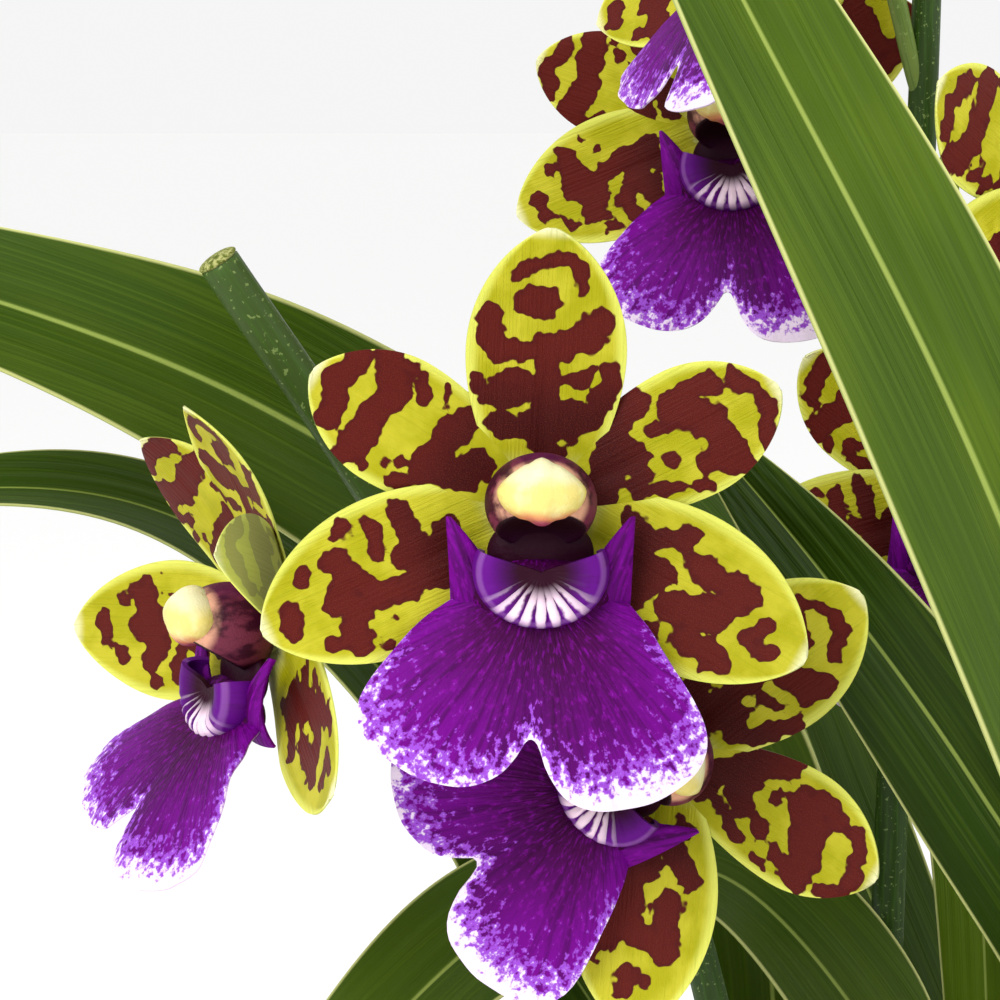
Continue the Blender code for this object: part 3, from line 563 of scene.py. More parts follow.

# %% [markdown]
# ## Blotches
# The blotches are the plant's own pattern, and each tepal has its own. They could be noise
# alone, but then none would sit where it does on the real bloom. So they are drawn as
# strokes of a round brush: a radius, then points in millimetres, out along the tepal and
# sideways. Each corner keeps its distance to the nearest stroke, and the finish draws a crisp
# edge from that at any distance.

# %% Brush strokes
BLOTCHES = {
    "dorsal": (
        (1.0, (30.3, -4.2), (32.2, -2.4), (33.1, 0.1), (32.7, 2.8), (30.6, 4.1), (29.2, 4.6)),
        (2.0, (27.8, -2.3), (27.1, -0.3)),
        (1.8, (25.3, -7.4), (21.9, -7), (21, -5.9)),
        (1.2, (21.3, -5.2), (20.8, -2), (21, 1.1)),
        (1.9, (22.2, 2.6), (24.3, 5.7), (25, 6.8)),
        (1.4, (21.3, 2.6), (22.4, 6.3)),
        (1.6, (22.1, 0), (16.9, 0.2)),
        (2.0, (16.9, 0.1), (8.6, 0.2)),
        (1.0, (17.2, -8.7), (14.1, -7.9)),
        (1.1, (16.7, -6.6), (17.5, -2.4)),
        (1.4, (14.6, -7), (15.2, -2.4)),
        (1.0, (17.5, 3), (17.8, 5.6)),
        (1.4, (18.5, 8.6), (15.1, 7.8), (11.9, 6.1)),
        (1.8, (12.9, 2.9), (11.9, 5.6)),
        (1.7, (11.1, -5.6), (10.1, -0.6), (11.3, 4.6)),
        (1.4, (8.3, -0.8), (8.1, 1.5)),
    ),
    "petal_right": (
        (1.1, (30, -3.8), (32.1, -0.9), (32.7, 2.3), (30, 5.6)),
        (1.6, (23.9, -5), (27.1, -4.4)),
        (2.5, (22, -3.6), (24.6, -1.4), (25.4, 2.6), (25.4, 5.5)),
        (1.2, (22, 4.6), (26.5, 6.7)),
        (1.5, (18.2, 2.3)),
        (1.0, (18, -2.5)),
        (0.6, (20, 6.8), (21.2, 7.3)),
        (1.1, (14.6, 1.9)),
        (1.9, (17.8, -6.8), (14.5, -5.6), (10.4, -1.8), (8.2, 1.7)),
        (2.0, (13.2, -2.7), (13.9, 0)),
        (0.8, (11, 2), (13.9, 4.3), (17.9, 5.7)),
    ),
    "petal_left": (
        (1.5, (30.7, 4.4), (31.8, 0.7), (30.2, -3.8)),
        (2.1, (26.9, 6.2), (24.5, 2.8), (25.1, -0.6), (25.7, -6.5)),
        (1.1, (27.1, 6.1), (24.4, 7.1)),
        (0.9, (22.2, 7), (20.5, 4.7)),
        (0.7, (18.9, 7.2), (18, 5.4)),
        (1.0, (21, -5.2)),
        (0.8, (23, -7.4)),
        (0.6, (18.9, -4)),
        (2.2, (14, 4.7), (15.4, 0.5), (16, -2.9), (11.4, -1.9), (10.2, 0.7)),
        (0.8, (19.3, -7), (15.5, -5.2)),
    ),
    "lateral_left": (
        (1.5, (17.2, 7.6), (16.9, 4.1), (17.5, 1.5)),
        (1.7, (18.8, 1.6), (15.5, -1.2), (12.2, 2.6)),
        (1.3, (21.3, 6.8), (21.8, 3.3)),
        (0.9, (25.9, 7.6), (24.3, 8.1)),
        (1.1, (31.7, 4.7), (32, 4)),
        (2.0, (27, 4.4), (26.1, 1.8), (29.1, -0.6)),
        (1.5, (26.3, 1.3), (23.2, -2), (17.7, -2.4), (14, -2.9)),
        (2.2, (27.3, -1.7), (28.4, -5.2)),
        (1.1, (31.7, -4.8)),
        (1.2, (28.4, -6.9)),
        (1.3, (35.1, 1.3), (35.6, -1.3)),
        (0.4, (23.1, -5.2), (22.7, -5.4)),
        (0.7, (24.6, -8)),
    ),
    "lateral_right": (
        (1.5, (11.4, -4.5), (14.4, -3.5), (18.5, -6.4)),
        (2.1, (12.7, -0.2), (17.7, -0.3), (15.9, 3.4)),
        (1.9, (21.6, -4), (25.1, -3.5), (28.9, -3.8)),
        (2.2, (20.7, 2.5), (25.6, 1.6), (27.5, -1.9)),
        (1.8, (24.1, 5.4), (28.1, 5)),
        (0.9, (28.2, 7.4), (30.9, 5.7)),
        (1.2, (20.4, 6.4)),
        (1.1, (32.8, -1.5), (31.9, 1.7), (35, 1.4)),
        (0.9, (16, 5.7)),
    ),
}
FAR_FROM_ANY_BLOTCH = 9.0  # mm


def blotch_field(u, w, strokes):
    """Distance in millimetres from the edge of the nearest stroke, negative inside it."""
    best = np.full(u.shape, FAR_FROM_ANY_BLOTCH)
    for radius, *points in strokes:
        for (a, b), (c, d) in zip(points, points[1:] or points):
            du, dw = c - a, d - b
            share = ((u - a) * du + (w - b) * dw) / max(du * du + dw * dw, 1e-6)
            share = share.clip(0, 1)
            best = np.minimum(best, np.hypot(u - a - du * share, w - b - dw * share) - radius)
    return best


print(sum(map(len, BLOTCHES.values())), "strokes on", len(BLOTCHES), "tepals")

# %% [markdown]
# ## The tepals of all blooms
# No two blooms open alike. The main bloom keeps to the shape table; on the others each tepal
# turns, bends and shifts its blotches a little at random from a fixed seed, and some are turned
# as listed where the photo shows it. The main bloom gets a denser grid, because the camera looks
# straight at it.

# %% Build the tepals
# Extra turn in degrees, and the curl as a share
ODD_TEPALS = {
    ("left", "dorsal"): (0, 1.0),
    ("left", "petal_left"): (-22, 1.0),
    ("left", "petal_right"): (10, 1.2),
    ("left", "lateral_left"): (-14, 0.9),
    ("left", "lateral_right"): (10, 0.3),
    ("lower", "dorsal"): (14, 1.0),
    ("lower", "lateral_right"): (-8, 1.0),
    ("upper", "petal_left"): (10, 1.0),
    ("upper", "lateral_left"): (-5, 1.0),
}
TEPAL_GRID, MAIN_TEPAL_GRID = (44, 28), (76, 48)  # steps along and across
TEPAL_RIM, TEPAL_FLESH = 0.28, 0.5  # mm of thickness at the rim, and how much more inside
RECEPTACLE = ((0.0, 2.0, 0.0), (4.6, 3.0, 4.6), 28, 16)


def tepal_bits(flower, number):
    """The receptacle and the five blades of one flower."""
    curl = FLOWERS[flower][3]
    main = flower == "main"
    seat = ball(*RECEPTACLE)
    seat["fields"] = {"blotch": FAR_FROM_ANY_BLOTCH, "along": 0.0, "across": 0.0, "side": -1.0,
                      "place": seat["verts"] + number * 40}
    bits = [seat]
    mirror = -1.0 if number % 2 else 1.0
    for name, angle, shape in TEPALS:
        chance = random.Random(f"{SEED} {flower} {name}")
        more, part = ODD_TEPALS.get((flower, name), (0, 1.0))
        turn = angle + more + (0.0 if main else chance.uniform(-3.0, 3.0))
        bend = curl * part * (0.9 if main else chance.uniform(0.85, 1.1))
        phase = chance.uniform(0.0, 6.0)
        slip = 0.0 if main else chance.uniform(-1.5, 1.5)
        s, v = grid(*(MAIN_TEPAL_GRID if main else TEPAL_GRID))
        points, u, w, t = tepal_points(shape, turn, bend, phase, s, v)
        thickness = TEPAL_RIM + TEPAL_FLESH * (1.0 - np.abs(v) ** 4) * (1.0 - t**5)
        near = blotch_field(u + slip, w * mirror, BLOTCHES[name])
        place = np.stack([u, w, np.full_like(u, number * 37.0 + angle)], -1)
        bits.append(blade(points, thickness, blotch=near, along=t, across=np.abs(v), place=place))
    return bits


for number, flower in enumerate(FLOWERS):
    mesh = mesh_of(f"{flower}_bloom_tepals", tepal_bits(flower, number), flower_matrix(flower))
    made = piece(mesh.name, mesh, [TEPAL], [f"{flower}_tepals"])
    print(made.name, len(mesh.polygons), "faces")

# %% [markdown]
# ## Finish of the lip
# The lip is the landing place for insects: vivid violet velvet with lilac flecks along its veins,
# which crowd together to a white margin. The flecks are about 0.5 to 1 mm, so their noise has 1
# to 2.3 cells to the millimetre, squeezed across the veins. They could be painted on a UV map,
# but the fan's own polar lines already lead them outwards.

# %% Violet velvet with flecks
def lip_finish():
    """Violet velvet: matt, darker in the middle, with pale flecks that join at the margin."""
    mat, tree, place, pale, along, across, side = tissue(
        "zygopetalum_lip", "place pale along across side", 0.55, 0.07, flesh=0.05)
    streak = grain(tree, place, 1.0, (1.5, 0.60, 1.0), rough=0.62)
    fleck = grain(tree, place, 2.3, (1.3, 0.60, 1.0), detail=2.0)
    veins = grain(tree, place, 0.9, (1.9, 0.09, 1.0), detail=2.0)
    level = sway(tree, sway(tree, pale, streak, 2.1), fleck, 0.8)
    colour = coats(
        tree, "#440240",
        ((along, 0.10, 0.85, 1.0), "#6e0384"),
        ((across, 0.34, 0.04, 0.55), "#33022c"),
        ((veins, 0.45, 0.66, 0.50), "#30022e"),
        ((streak, 0.50, 0.68, 0.55), "#840a9a"),
        ((level, 0.30, 0.50, 1.0), "#9448c6"),
        ((level, 0.60, 0.92, 1.0), "#ecd9f2"),
        ((side, 0.2, -0.2, 0.6), "#c9a9dc"))
    height = put(tree, "ShaderNodeMath", (fleck, 0.4, veins), operation="MULTIPLY_ADD")
    return dress(mat, colour, height, 0.30)


LIP = lip_finish()
print(LIP.name, len(LIP.node_tree.nodes), "nodes")

# %% [markdown]
# ## Finish of the callus
# The callus is the fleshy comb at the lip's base, with white stripes over purple, and painted shade
# turns it near black towards the throat above. The stripes are a sine of the angle round the comb,
# a little bent by noise, and they fade towards the throat, the sides and the rim. Fifteen ribs of
# modelled stripes would be truer and far heavier, so low ridges carry them and the colour does the
# rest.

# %% Striped flesh
def callus_finish():
    """Smooth wet flesh: white and purple stripes, and painted shade, nearly black, towards the
    throat.
    """
    mat, tree, place, turn, along = tissue(
        "striped_callus", "place across along", 0.5, 0.10, flesh=0.08)
    wander = grain(tree, place, 0.8, (1.0, 0.5, 1.0))
    wave = put(tree, "ShaderNodeMath", (turn, 47.0), operation="MULTIPLY")
    wave = put(tree, "ShaderNodeMath", (wander, 3.5, wave), operation="MULTIPLY_ADD")
    stripe = put(tree, "ShaderNodeMath", (wave,), operation="SINE")
    off = put(tree, "ShaderNodeMath", (turn,), operation="ABSOLUTE")
    # The near-black ground shows only near the throat, where along is low: painted shade of the
    # hollow.
    colour = coats(
        tree, "#2c041a",
        ((along, 0.20, 0.60, 1.0), "#5f0b80"),
        ((wander, 0.5, 0.7, 0.5), (along, 0.2, 0.5, 1.0), "#4c0a5c"),
        ((stripe, -0.3, 0.5, 1.0), (off, 0.62, 0.28, 1.0), (along, 0.16, 0.40, 1.0),
         (along, 0.84, 0.58, 1.0), "#f1d6e6"),
        ((along, 0.60, 0.65, 1.0), (along, 0.74, 0.69, 0.22), "#c48ad6"))
    return dress(mat, colour, wander, 0.15)


CALLUS = callus_finish()
print(CALLUS.name, len(CALLUS.node_tree.nodes), "nodes")

# %% [markdown]
# ## The fan of the lip
# The lip is a broad fan with two lobes and a notch, leaning forward and down. It is made on polar
# lines that run out from the callus, as its veins do, and its outline is a short table of how far
# it reaches at each angle from straight down. A cut-out plane would need cleaning at the notch.

# %% Fan
LIP_OUTLINE = (
    (-88, 8), (-76, 13), (-64, 21), (-54, 29), (-40, 30), (-24, 28.8), (-14, 26.2),
    (-8.5, 23), (-5, 20.5), (-1, 21), (2, 24.5), (8, 28.5), (20, 31), (34, 32),
    (46, 29.5), (58, 19), (74, 12), (88, 8),
)
LIP_CENTRE = np.array((0.0, -4.6, -9.0))
FAN_ROOT = 3.0           # mm from the lip's centre to the fan's first row
FAN_SPREAD = 86.0        # degrees to each side
FAN_BEND = -0.35 / 30.0  # radians for each mm down
FAN_GRID, MAIN_FAN_GRID = (30, 96), (44, 150)


def lip_reach(degrees):
    """How far the fan reaches at each angle from straight down."""
    knots = np.array(LIP_OUTLINE, float)
    line = through(knots, np.linspace(0, 1, 600))
    soft = np.convolve(np.pad(line[:, 1], 7, mode="edge"), np.ones(15) / 15, mode="valid")
    return np.interp(degrees, line[:, 0], soft)


def fan_bit(lean, number, main):
    """The fan of the lip."""
    s, v = grid(*(MAIN_FAN_GRID if main else FAN_GRID))
    v = v[:, ::-1]
    degrees = v * FAN_SPREAD
    angle = np.radians(degrees)
    reach = FAN_ROOT + (lip_reach(degrees) - FAN_ROOT) * s
    x, down = reach * np.sin(angle), reach * np.cos(angle)
    drop_by = (np.sin(lean + FAN_BEND * down) - math.sin(lean)) / FAN_BEND
    forward = (math.cos(lean) - np.cos(lean + FAN_BEND * down)) / FAN_BEND
    # The sides bend back, the midline is creased, and the margin is ruffled twice over
    forward = forward - 2.2 * (x / 24.0) ** 2 - 0.9 * np.exp(-((x / 3.0) ** 2)) * s
    forward = forward + 0.9 * np.sin(angle * 7.0 + 0.8) * s * s
    forward = forward + 0.22 * np.sin(angle * 31.0 + number) * s**6
    points = LIP_CENTRE + np.stack([x, -forward, -drop_by], -1)
    thickness = 0.3 + 0.6 * (1.0 - s**6)
    # Flecks crowd at the margin, most of all on the right lobe, and leave the shoulders dark
    right = np.exp(-(((degrees - 22.0) / 22.0) ** 2))
    left = np.exp(-(((degrees + 42.0) / 26.0) ** 2))
    pale = -0.40 + 0.88 * s**1.8 + 0.20 * s**14 + right * 0.70 * s**5 + left * 0.20 * s**2
    pale = pale - 0.55 * np.clip((np.abs(degrees) - 60.0) / 12.0, 0.0, 1.0)
    place = np.stack([angle * 14.0, reach, np.full_like(s, number * 29.0)], -1)
    return blade(points, thickness, pale=pale, along=s, across=np.abs(v), place=place)


print("the fan is", round(float(2 * lip_reach(np.array(34.0)) * math.sin(math.radians(60))), 1),
      "mm across its lobes, roughly")

# %% [markdown]
# ## Ears, callus, collar and throat
# Two pointed ears stand up beside the callus, a horseshoe of ridged flesh, and a fleshy collar
# and a throat, painted near black as shade, close the gap behind them. Blades and balls made by
# formula sink into the fan a little, as parts that grew together do, so no seam shows.

# %% Ears
EAR_HEIGHT, EAR_ROOT, EAR_SPLAY = 12.4, 7.6, 4.2
EAR_GRID = (28, 16)


def ear_bit(side, number):
    """One of the two ears that stand up beside the callus."""
    s, v = grid(*EAR_GRID)
    v = v if side > 0 else v[:, ::-1]
    width = 3.6 * (1.0 - s**1.4) + 0.35
    bow = 0.8 * np.sin(s * np.pi) - 0.9 * v * v * (1.0 - s) - 2.2 * (1.0 - s) ** 4
    x = side * (EAR_ROOT + EAR_SPLAY * s**1.5 + v * width)
    points = np.stack([x, -6.2 + 1.6 * s - bow, -13.0 + EAR_HEIGHT * s], -1)[::-1]
    thickness = 0.4 + 0.7 * (1.0 - np.abs(v) ** 4)
    place = np.stack([v * width, EAR_HEIGHT * s, np.full_like(s, number * 11.0 + side)], -1)
    pale = -0.30 + 0.25 * np.abs(v) ** 3
    ear = blade(points, thickness, pale=pale, along=0.7, across=np.abs(v), place=place[::-1])
    ear["fields"]["side"] = 1.0
    return ear


print("an ear is", EAR_HEIGHT, "mm high")

# %% Callus, collar and throat
# Distance from the callus's centre, and depth, from the throat out to the rim
CALLUS_SECTION = ((0.1, -8.4), (2.2, -8.5), (4.4, -9.2), (6.2, -9.8), (7.6, -9.3), (8.3, -7.4),
                  (8.0, -5.6))
CALLUS_SPREAD = 112.0  # degrees to each side
CALLUS_RIDGE = 0.30    # mm
CALLUS_GRID, MAIN_CALLUS_GRID = (24, 90), (34, 120)


def callus_bit(number, main):
    """The striped horseshoe with its ridges."""
    s, v = grid(*(MAIN_CALLUS_GRID if main else CALLUS_GRID))
    angle = v * math.radians(CALLUS_SPREAD)
    section = through(CALLUS_SECTION, s)
    fade = np.sin(s * np.pi) ** 1.5 * np.exp(-((v / 0.55) ** 4))
    ridge = CALLUS_RIDGE * np.cos(angle * 26.0) * fade
    radius = section[..., 0]
    points = np.stack([radius * np.sin(angle), section[..., 1] - ridge,
                       -7.2 - radius * 0.84 * np.cos(angle)], -1)
    place = np.stack([angle * 6.0, radius, np.full_like(s, number * 17.0)], -1)
    return blade(points[:, ::-1], 0.8, slot=1, along=s, across=v[:, ::-1], pale=0.0,
                 place=place[:, ::-1])


def throat_bit(number):
    """The throat behind the mouth of the column, a ball that takes the callus finish's near-black
    painted shade.
    """
    body = ball((0.0, -3.3, -5.2), (6.9, 2.2, 5.0), 36, 20, slot=1)
    # Along 0 gives it the near-black painted shade of the callus finish.
    body["fields"] = {"along": 0.0, "across": 1.0, "pale": 0.0, "side": 1.0,
                      "place": body["verts"] + number * 19}
    return body


def collar_bit(number):
    """The fleshy collar behind the callus."""
    body = ball((0.0, -4.9, -10.2), (9.2, 3.4, 4.4), 40, 22)
    body["fields"] = {"along": 0.1, "across": 0.0, "pale": -0.4, "side": 1.0,
                      "place": body["verts"] + number * 13}
    return body


for number, flower in enumerate(FLOWERS):
    lean, main = FLOWERS[flower][4], flower == "main"
    bits = [fan_bit(lean, number, main), ear_bit(-1, number), ear_bit(1, number),
            callus_bit(number, main), collar_bit(number), throat_bit(number)]
    mesh = mesh_of(f"{flower}_bloom_lip", bits, flower_matrix(flower))
    made = piece(mesh.name, mesh, [LIP, CALLUS], [f"{flower}_lip"])
    print(made.name, len(mesh.polygons), "faces")

# %% [markdown]
# ## Finishes of the column and the anther cap
# The column is the fused stamen and pistil. It is maroon outside, with a pinkish lining beside
# the cap, and the hollow below it is painted almost black as shade. The cap over the pollen is
# cream-yellow wax, and its lower rim turns orange and then pink. Both are marked by where their
# corners lie, so that the colours follow the form and not the camera.

# %% Maroon flesh and cream wax
def column_finish():
    """Maroon flesh: a soft wet gloss outside, and painted shade, nearly black, in the hollow."""
    mat, tree, place, cavity, lining = tissue(
        "column_tissue", "place cavity lining", 0.50, 0.18, flesh=0.05)
    mottle = grain(tree, place, 0.42, (1.0, 0.5, 1.0))
    high = put(tree, "ShaderNodeSeparateXYZ", (place,), 2)
    # Painted shade of the hollow below the cap: near black, a little more purple lower down.
    dark = coats(tree, "#1c0106", ((high, -1.0, -6.0, 1.0), "#3a0630"))
    colour = coats(
        tree, "#3a0720",
        ((mottle, 0.42, 0.60, 1.0), "#6f2a40"),
        ((high, 5.8, 7.8, 0.7), "#5f1a4a"),
        (lining, (mottle, 0.30, 0.62, 1.0), "#d9a184"),
        ((cavity, 0.3, 0.7, 1.0), dark))
    return dress(mat, colour, grain(tree, place, 3.5), 0.10)


def anther_finish():
    """Cream wax: glossier than the rest, as light goes well into it."""
    mat, tree, place = tissue("anther_wax", "place", 0.36, 0.5, flesh=0.25)
    high = put(tree, "ShaderNodeSeparateXYZ", (place,), 2)
    soft = grain(tree, place, 0.28, detail=2.0)
    level = put(tree, "ShaderNodeMath", (soft, 2.0, high), operation="MULTIPLY_ADD")
    colour = coats(
        tree, "#e9d87c",
        ((level, 4.4, 6.6, 1.0), "#f2ebbc"),
        ((soft, 0.5, 0.7, 0.5), "#f6f0b4"),
        ((level, 2.3, 0.9, 1.0), "#e0915c"),
        ((level, 1.1, 0.2, 1.0), "#a04058"))
    return dress(mat, colour, grain(tree, place, 2.5), 0.12)


COLUMN, ANTHER = column_finish(), anther_finish()
print(COLUMN.name, "and", ANTHER.name)

# %% [markdown]
# ## Column and anther cap
# The column is a hood over a hollow, whose darkness is painted shade, with the cap at its tip. The
# hood is an ellipsoid from which other ellipsoids and two boxes are cut. A voxel remesh then gives
# it an even skin, and smoothing rounds its rim as flesh is rounded, which a bare Boolean can't do.

# %% Hood
HOLLOW = (np.array((0.0, -13.6, -4.9)), np.array((7.7, 9.6, 5.3)))
CAP = ((0.0, -12.0, 3.4), (5.6, 3.5, 4.1), 56, 36)
CAP_SEAT = ((0.0, -12.6, 3.2), (4.9, 3.2, 3.3), 40, 24)
HOOD_BODY = ((0.0, -6.2, 1.4), (7.2, 7.6, 6.4), 64, 40)
# Two boxes, by their corners: what lies behind the hood, and what lies below it
HOOD_CUTS = (((-15, -1.3, -15), (15, 9, 15)), ((-15, -30, -40), (15, 30, -5.4)))
BOX_SIDES = [[0, 1, 3, 2], [4, 6, 7, 5], [0, 4, 5, 1], [2, 3, 7, 6], [0, 2, 6, 4], [1, 5, 7, 3]]
SKIN_CELL = 0.38 * MM


def cut_by(obj, name, shapes):
    """Take closed shapes out of an object; gives the collection that holds them."""
    cutters = bpy.data.collections.new(name)
    bpy.context.scene.collection.children.link(cutters)
    for shape in shapes:
        mesh = mesh_of("cutter", [shape])
        outward(mesh)
        cutters.objects.link(bpy.data.objects.new("cutter", mesh))
    cut = obj.modifiers.new("cut", "BOOLEAN")
    cut.operation, cut.operand_type, cut.collection = "DIFFERENCE", "COLLECTION", cutters
    cut.solver = "MANIFOLD"
    return cutters


def cleared(collection):
    """Remove a collection of working objects."""
    for obj in list(collection.objects):
        bpy.data.objects.remove(obj, do_unlink=True)
    bpy.data.collections.remove(collection)


def hood_mesh():
    """The hood: one ellipsoid less four cutters, remeshed and smoothed."""
    base = work_object("hood", mesh_of("hood", [ball(*HOOD_BODY)]))
    shapes = [ball(*HOLLOW, 48, 30), ball(*CAP_SEAT)]
    for (x0, y0, z0), (x1, y1, z1) in HOOD_CUTS:
        corners = [(x, y, z) for x in (x0, x1) for y in (y0, y1) for z in (z0, z1)]
        shapes.append(bit(corners, BOX_SIDES))
    cutters = cut_by(base, "hood_cutters", shapes)
    skin = base.modifiers.new("skin", "REMESH")
    skin.mode, skin.voxel_size = "VOXEL", SKIN_CELL
    smooth = base.modifiers.new("smooth", "SMOOTH")
    smooth.factor, smooth.iterations = 0.5, 4
    mesh = evaluated(base)
    cleared(cutters)
    return mesh


HOOD = hood_mesh()
print("the hood has", len(HOOD.polygons), "faces")

# %% Build the columns and the anther caps
LINING = (np.array((0.0, -12.4, 2.6)), np.array((5.4, 4.0, 4.4)))


def marked(mesh, name):
    """A copy of a mesh that keeps its own place and marks the hollow, where shade is painted, and
    its lining.
    """
    copy = mesh.copy()
    copy.name = name
    spots = np.empty(len(copy.vertices) * 3)
    copy.vertices.foreach_get("co", spots)
    spots = spots.reshape(-1, 3) / MM
    inside = np.linalg.norm((spots - HOLLOW[0]) / HOLLOW[1], axis=1)
    beside = np.linalg.norm((spots - LINING[0]) / LINING[1], axis=1)
    layer = copy.attributes.new("place", "FLOAT_VECTOR", "POINT")
    layer.data.foreach_set("vector", spots.ravel())
    # The hollow's mark is the mask of its painted shade.
    for mark, value in (("cavity", (1.13 - inside) / 0.1), ("lining", (1.30 - beside) / 0.22)):
        layer = copy.attributes.new(mark, "FLOAT", "POINT")
        layer.data.foreach_set("value", np.clip(value, 0, 1))
    return copy


def cap_bulge(verts):
    """A helmet: broad below, with a low ridge down its middle and a small beak."""
    x, z = verts[:, 0], verts[:, 2]
    narrow = 0.34 * np.maximum(z, 0.0) * np.abs(x)
    beak = 0.10 * np.exp(-((x / 0.22) ** 2)) * np.maximum(-z, 0.0)
    groove = 0.04 * np.exp(-(((np.abs(x) - 0.30) / 0.12) ** 2))
    return 1.0 - narrow + beak - groove


CAP_SHAPE = mesh_of("cap", [ball(*CAP, bulge=cap_bulge)])
CAP_ENDING = ".001"  # part of the caps' names, by which they are already known
for flower in FLOWERS:
    for part, ending, shape, finish, slot in (
            ("column", "", HOOD, COLUMN, "maroon_column"),
            ("anther_cap", CAP_ENDING, CAP_SHAPE, ANTHER, "cream_anther_cap")):
        mesh = marked(shape, f"{flower}_bloom_{part}{ending}")
        mesh.transform(flower_matrix(flower))
        made = piece(mesh.name, mesh, [finish], [f"{flower}_{part}"])
        print(made.name, len(mesh.polygons), "faces")

# %% [markdown]
# ## Finish of the leaves
# The leaves are thin and leathery, satin rather than glossy, with fine parallel veins, a pale
# midrib and a thin pale margin, which is a painted highlight along the edge. The veins are 0.2 to
# 0.7 mm apart and run the whole length, so their noise is squeezed along the blade to almost
# nothing. Old leaves have a few pale pocks.
# Each leaf has its own tint, because young ones are lighter.

# %% Leathery leaf skin
def leaf_finish():
    """Leathery skin: satin green with parallel veins, a pale midrib, and a pale margin painted as
    an edge highlight.
    """
    mat, tree, place, across, tint, side = tissue(
        "leaf_skin", "place across tint side", 0.44, 0.14)
    off = put(tree, "ShaderNodeMath", (across,), operation="ABSOLUTE")
    lines = grain(tree, place, 1.0, (0.012, 1.5, 1.0))
    hairs = grain(tree, place, 1.0, (0.02, 5.0, 1.0), detail=1.0)
    patch = grain(tree, place, 0.03, (0.6, 2.0, 1.0))
    pocks = grain(tree, place, 0.35, (0.5, 1.6, 1.0), detail=4.0, rough=0.7)
    colour = coats(
        tree, "#102600",
        (tint, "#587206"),
        ((patch, 0.38, 0.62, 0.6), "#2a4400"),
        ((lines, 0.46, 0.66, 0.16), "#66801c"),
        ((hairs, 0.55, 0.75, 0.30), "#182e05"),
        ((off, 0.045, 0.012, 0.7), "#9fb054"),
        # The pale rim here is a painted highlight along the leaf's edge.
        ((off, 0.955, 0.99, 0.85), "#c9cc80"),
        ((pocks, 0.74, 0.80, 0.8), "#cfd6a0"),
        ((side, 0.2, -0.2, 0.45), "#5c7424"))
    height = put(tree, "ShaderNodeMath", (hairs, 0.4, lines), operation="MULTIPLY_ADD")
    return dress(mat, colour, height, 0.20)


LEAF = leaf_finish()
print(LEAF.name, len(LEAF.node_tree.nodes), "nodes")

# %% [markdown]
# ## Shape of a leaf
# A leaf rises from the top of a bulb, widens, arches over and narrows to a point. Its two halves
# fold up from the midrib, more so near the foot, where it is nearly closed. It could be a plane
# bent along a curve. Here each row of a grid stands across the leaf's line, and the fold and a
# slow wave lift it towards the edges.

# %% Leaf lines
BARK_LEVEL = 106.0  # mm above the pot's foot
BULB_RADIUS, BULB_TOP, BULB_SINK = 15.0, 10.5, 9.0
# Bulbs: where each stands, x and y, and how tall it is
BULBS = {
    "front": (28.0, -30.0, 56.0),
    "right": (44.0, 4.0, 50.0),
    "middle": (6.0, -8.0, 60.0),
    "back": (20.0, 36.0, 54.0),
    "left": (-28.0, 10.0, 58.0),
}
# Leaves: bulb, turn of the foot, points, half width, where the face looks, fold, wave, tint
LEAVES = {
    "near": (
        "front", 240, ((16, -60, 236), (-2, -82, 280), (-21, -94, 320), (-45, -98, 363),
                       (-72, -96, 412)), 14.0, (0.35, -1, 0.3), 0.16, 0.6, 0.62),
    "upper_left": (
        "left", 40, ((-24, 40, 214), (-50, 39, 260), (-92, 8, 296), (-138, -4, 320),
                     (-228, -4, 346)), 20.0, (-0.1, -0.95, 0.5), 0.30, 1.6, 0.40),
    "lower_left": (
        "left", 190, ((-60, 28, 206), (-84, 36, 246), (-116, 24, 280), (-152, 8, 292),
                      (-204, -6, 282)), 10.5, (0.0, -0.6, 0.9), 0.22, 1.0, 0.35),
    "low_arch": (
        "middle", 140, ((-8, 2, 200), (-34, 15, 225), (-66, 14, 219), (-98, -4, 195),
                        (-138, -26, 152)), 15.0, (0.1, -0.35, 1), 0.18, 1.8, 0.45),
    "inner": (
        "right", 215, ((22, -26, 216), (-2, -33, 256), (-24, -30, 286), (-46, -30, 312)),
        11.0, (-0.3, -1, 0.4), 0.20, 0.8, 0.12),
    "pale": (
        "back", 250, ((14, 30, 220), (10, 44, 270), (8, 58, 310), (12, 66, 350)),
        9.0, (0.0, -1, 0.1), 0.12, 0.6, 0.90),
    "right_tall": (
        "right", 335, ((54, -8, 226), (52, -14, 270), (60, -16, 310), (82, -14, 346)),
        13.0, (-0.2, -1, 0.3), 0.22, 1.4, 0.40),
    "right_low": (
        "front", 350, ((52, -50, 210), (86, -64, 240), (130, -72, 240), (178, -74, 206)),
        15.0, (-0.2, -0.5, 1), 0.22, 1.8, 0.45),
    "right_back": (
        "right", 60, ((62, 24, 220), (90, 40, 262), (124, 52, 282), (170, 60, 276)),
        15.0, (-0.5, -0.4, 1), 0.24, 1.6, 0.35),
    "back_tall": (
        "back", 20, ((36, 58, 230), (44, 74, 290), (62, 90, 340), (92, 108, 374)),
        14.0, (-0.4, -0.8, 0.5), 0.22, 1.4, 0.40),
    "back_left": (
        "back", 140, ((-4, 60, 214), (-26, 84, 264), (-60, 108, 286), (-108, 130, 274)),
        15.0, (0.3, -0.4, 1), 0.22, 1.6, 0.30),
    "front_low": (
        "middle", 260, ((-2, -36, 200), (-20, -66, 222), (-44, -104, 212),
                        (-74, -146, 168)), 13.0, (0.2, 0.2, 1), 0.22, 1.6, 0.50),
}


print(len(LEAVES), "leaves on", len(BULBS), "bulbs")

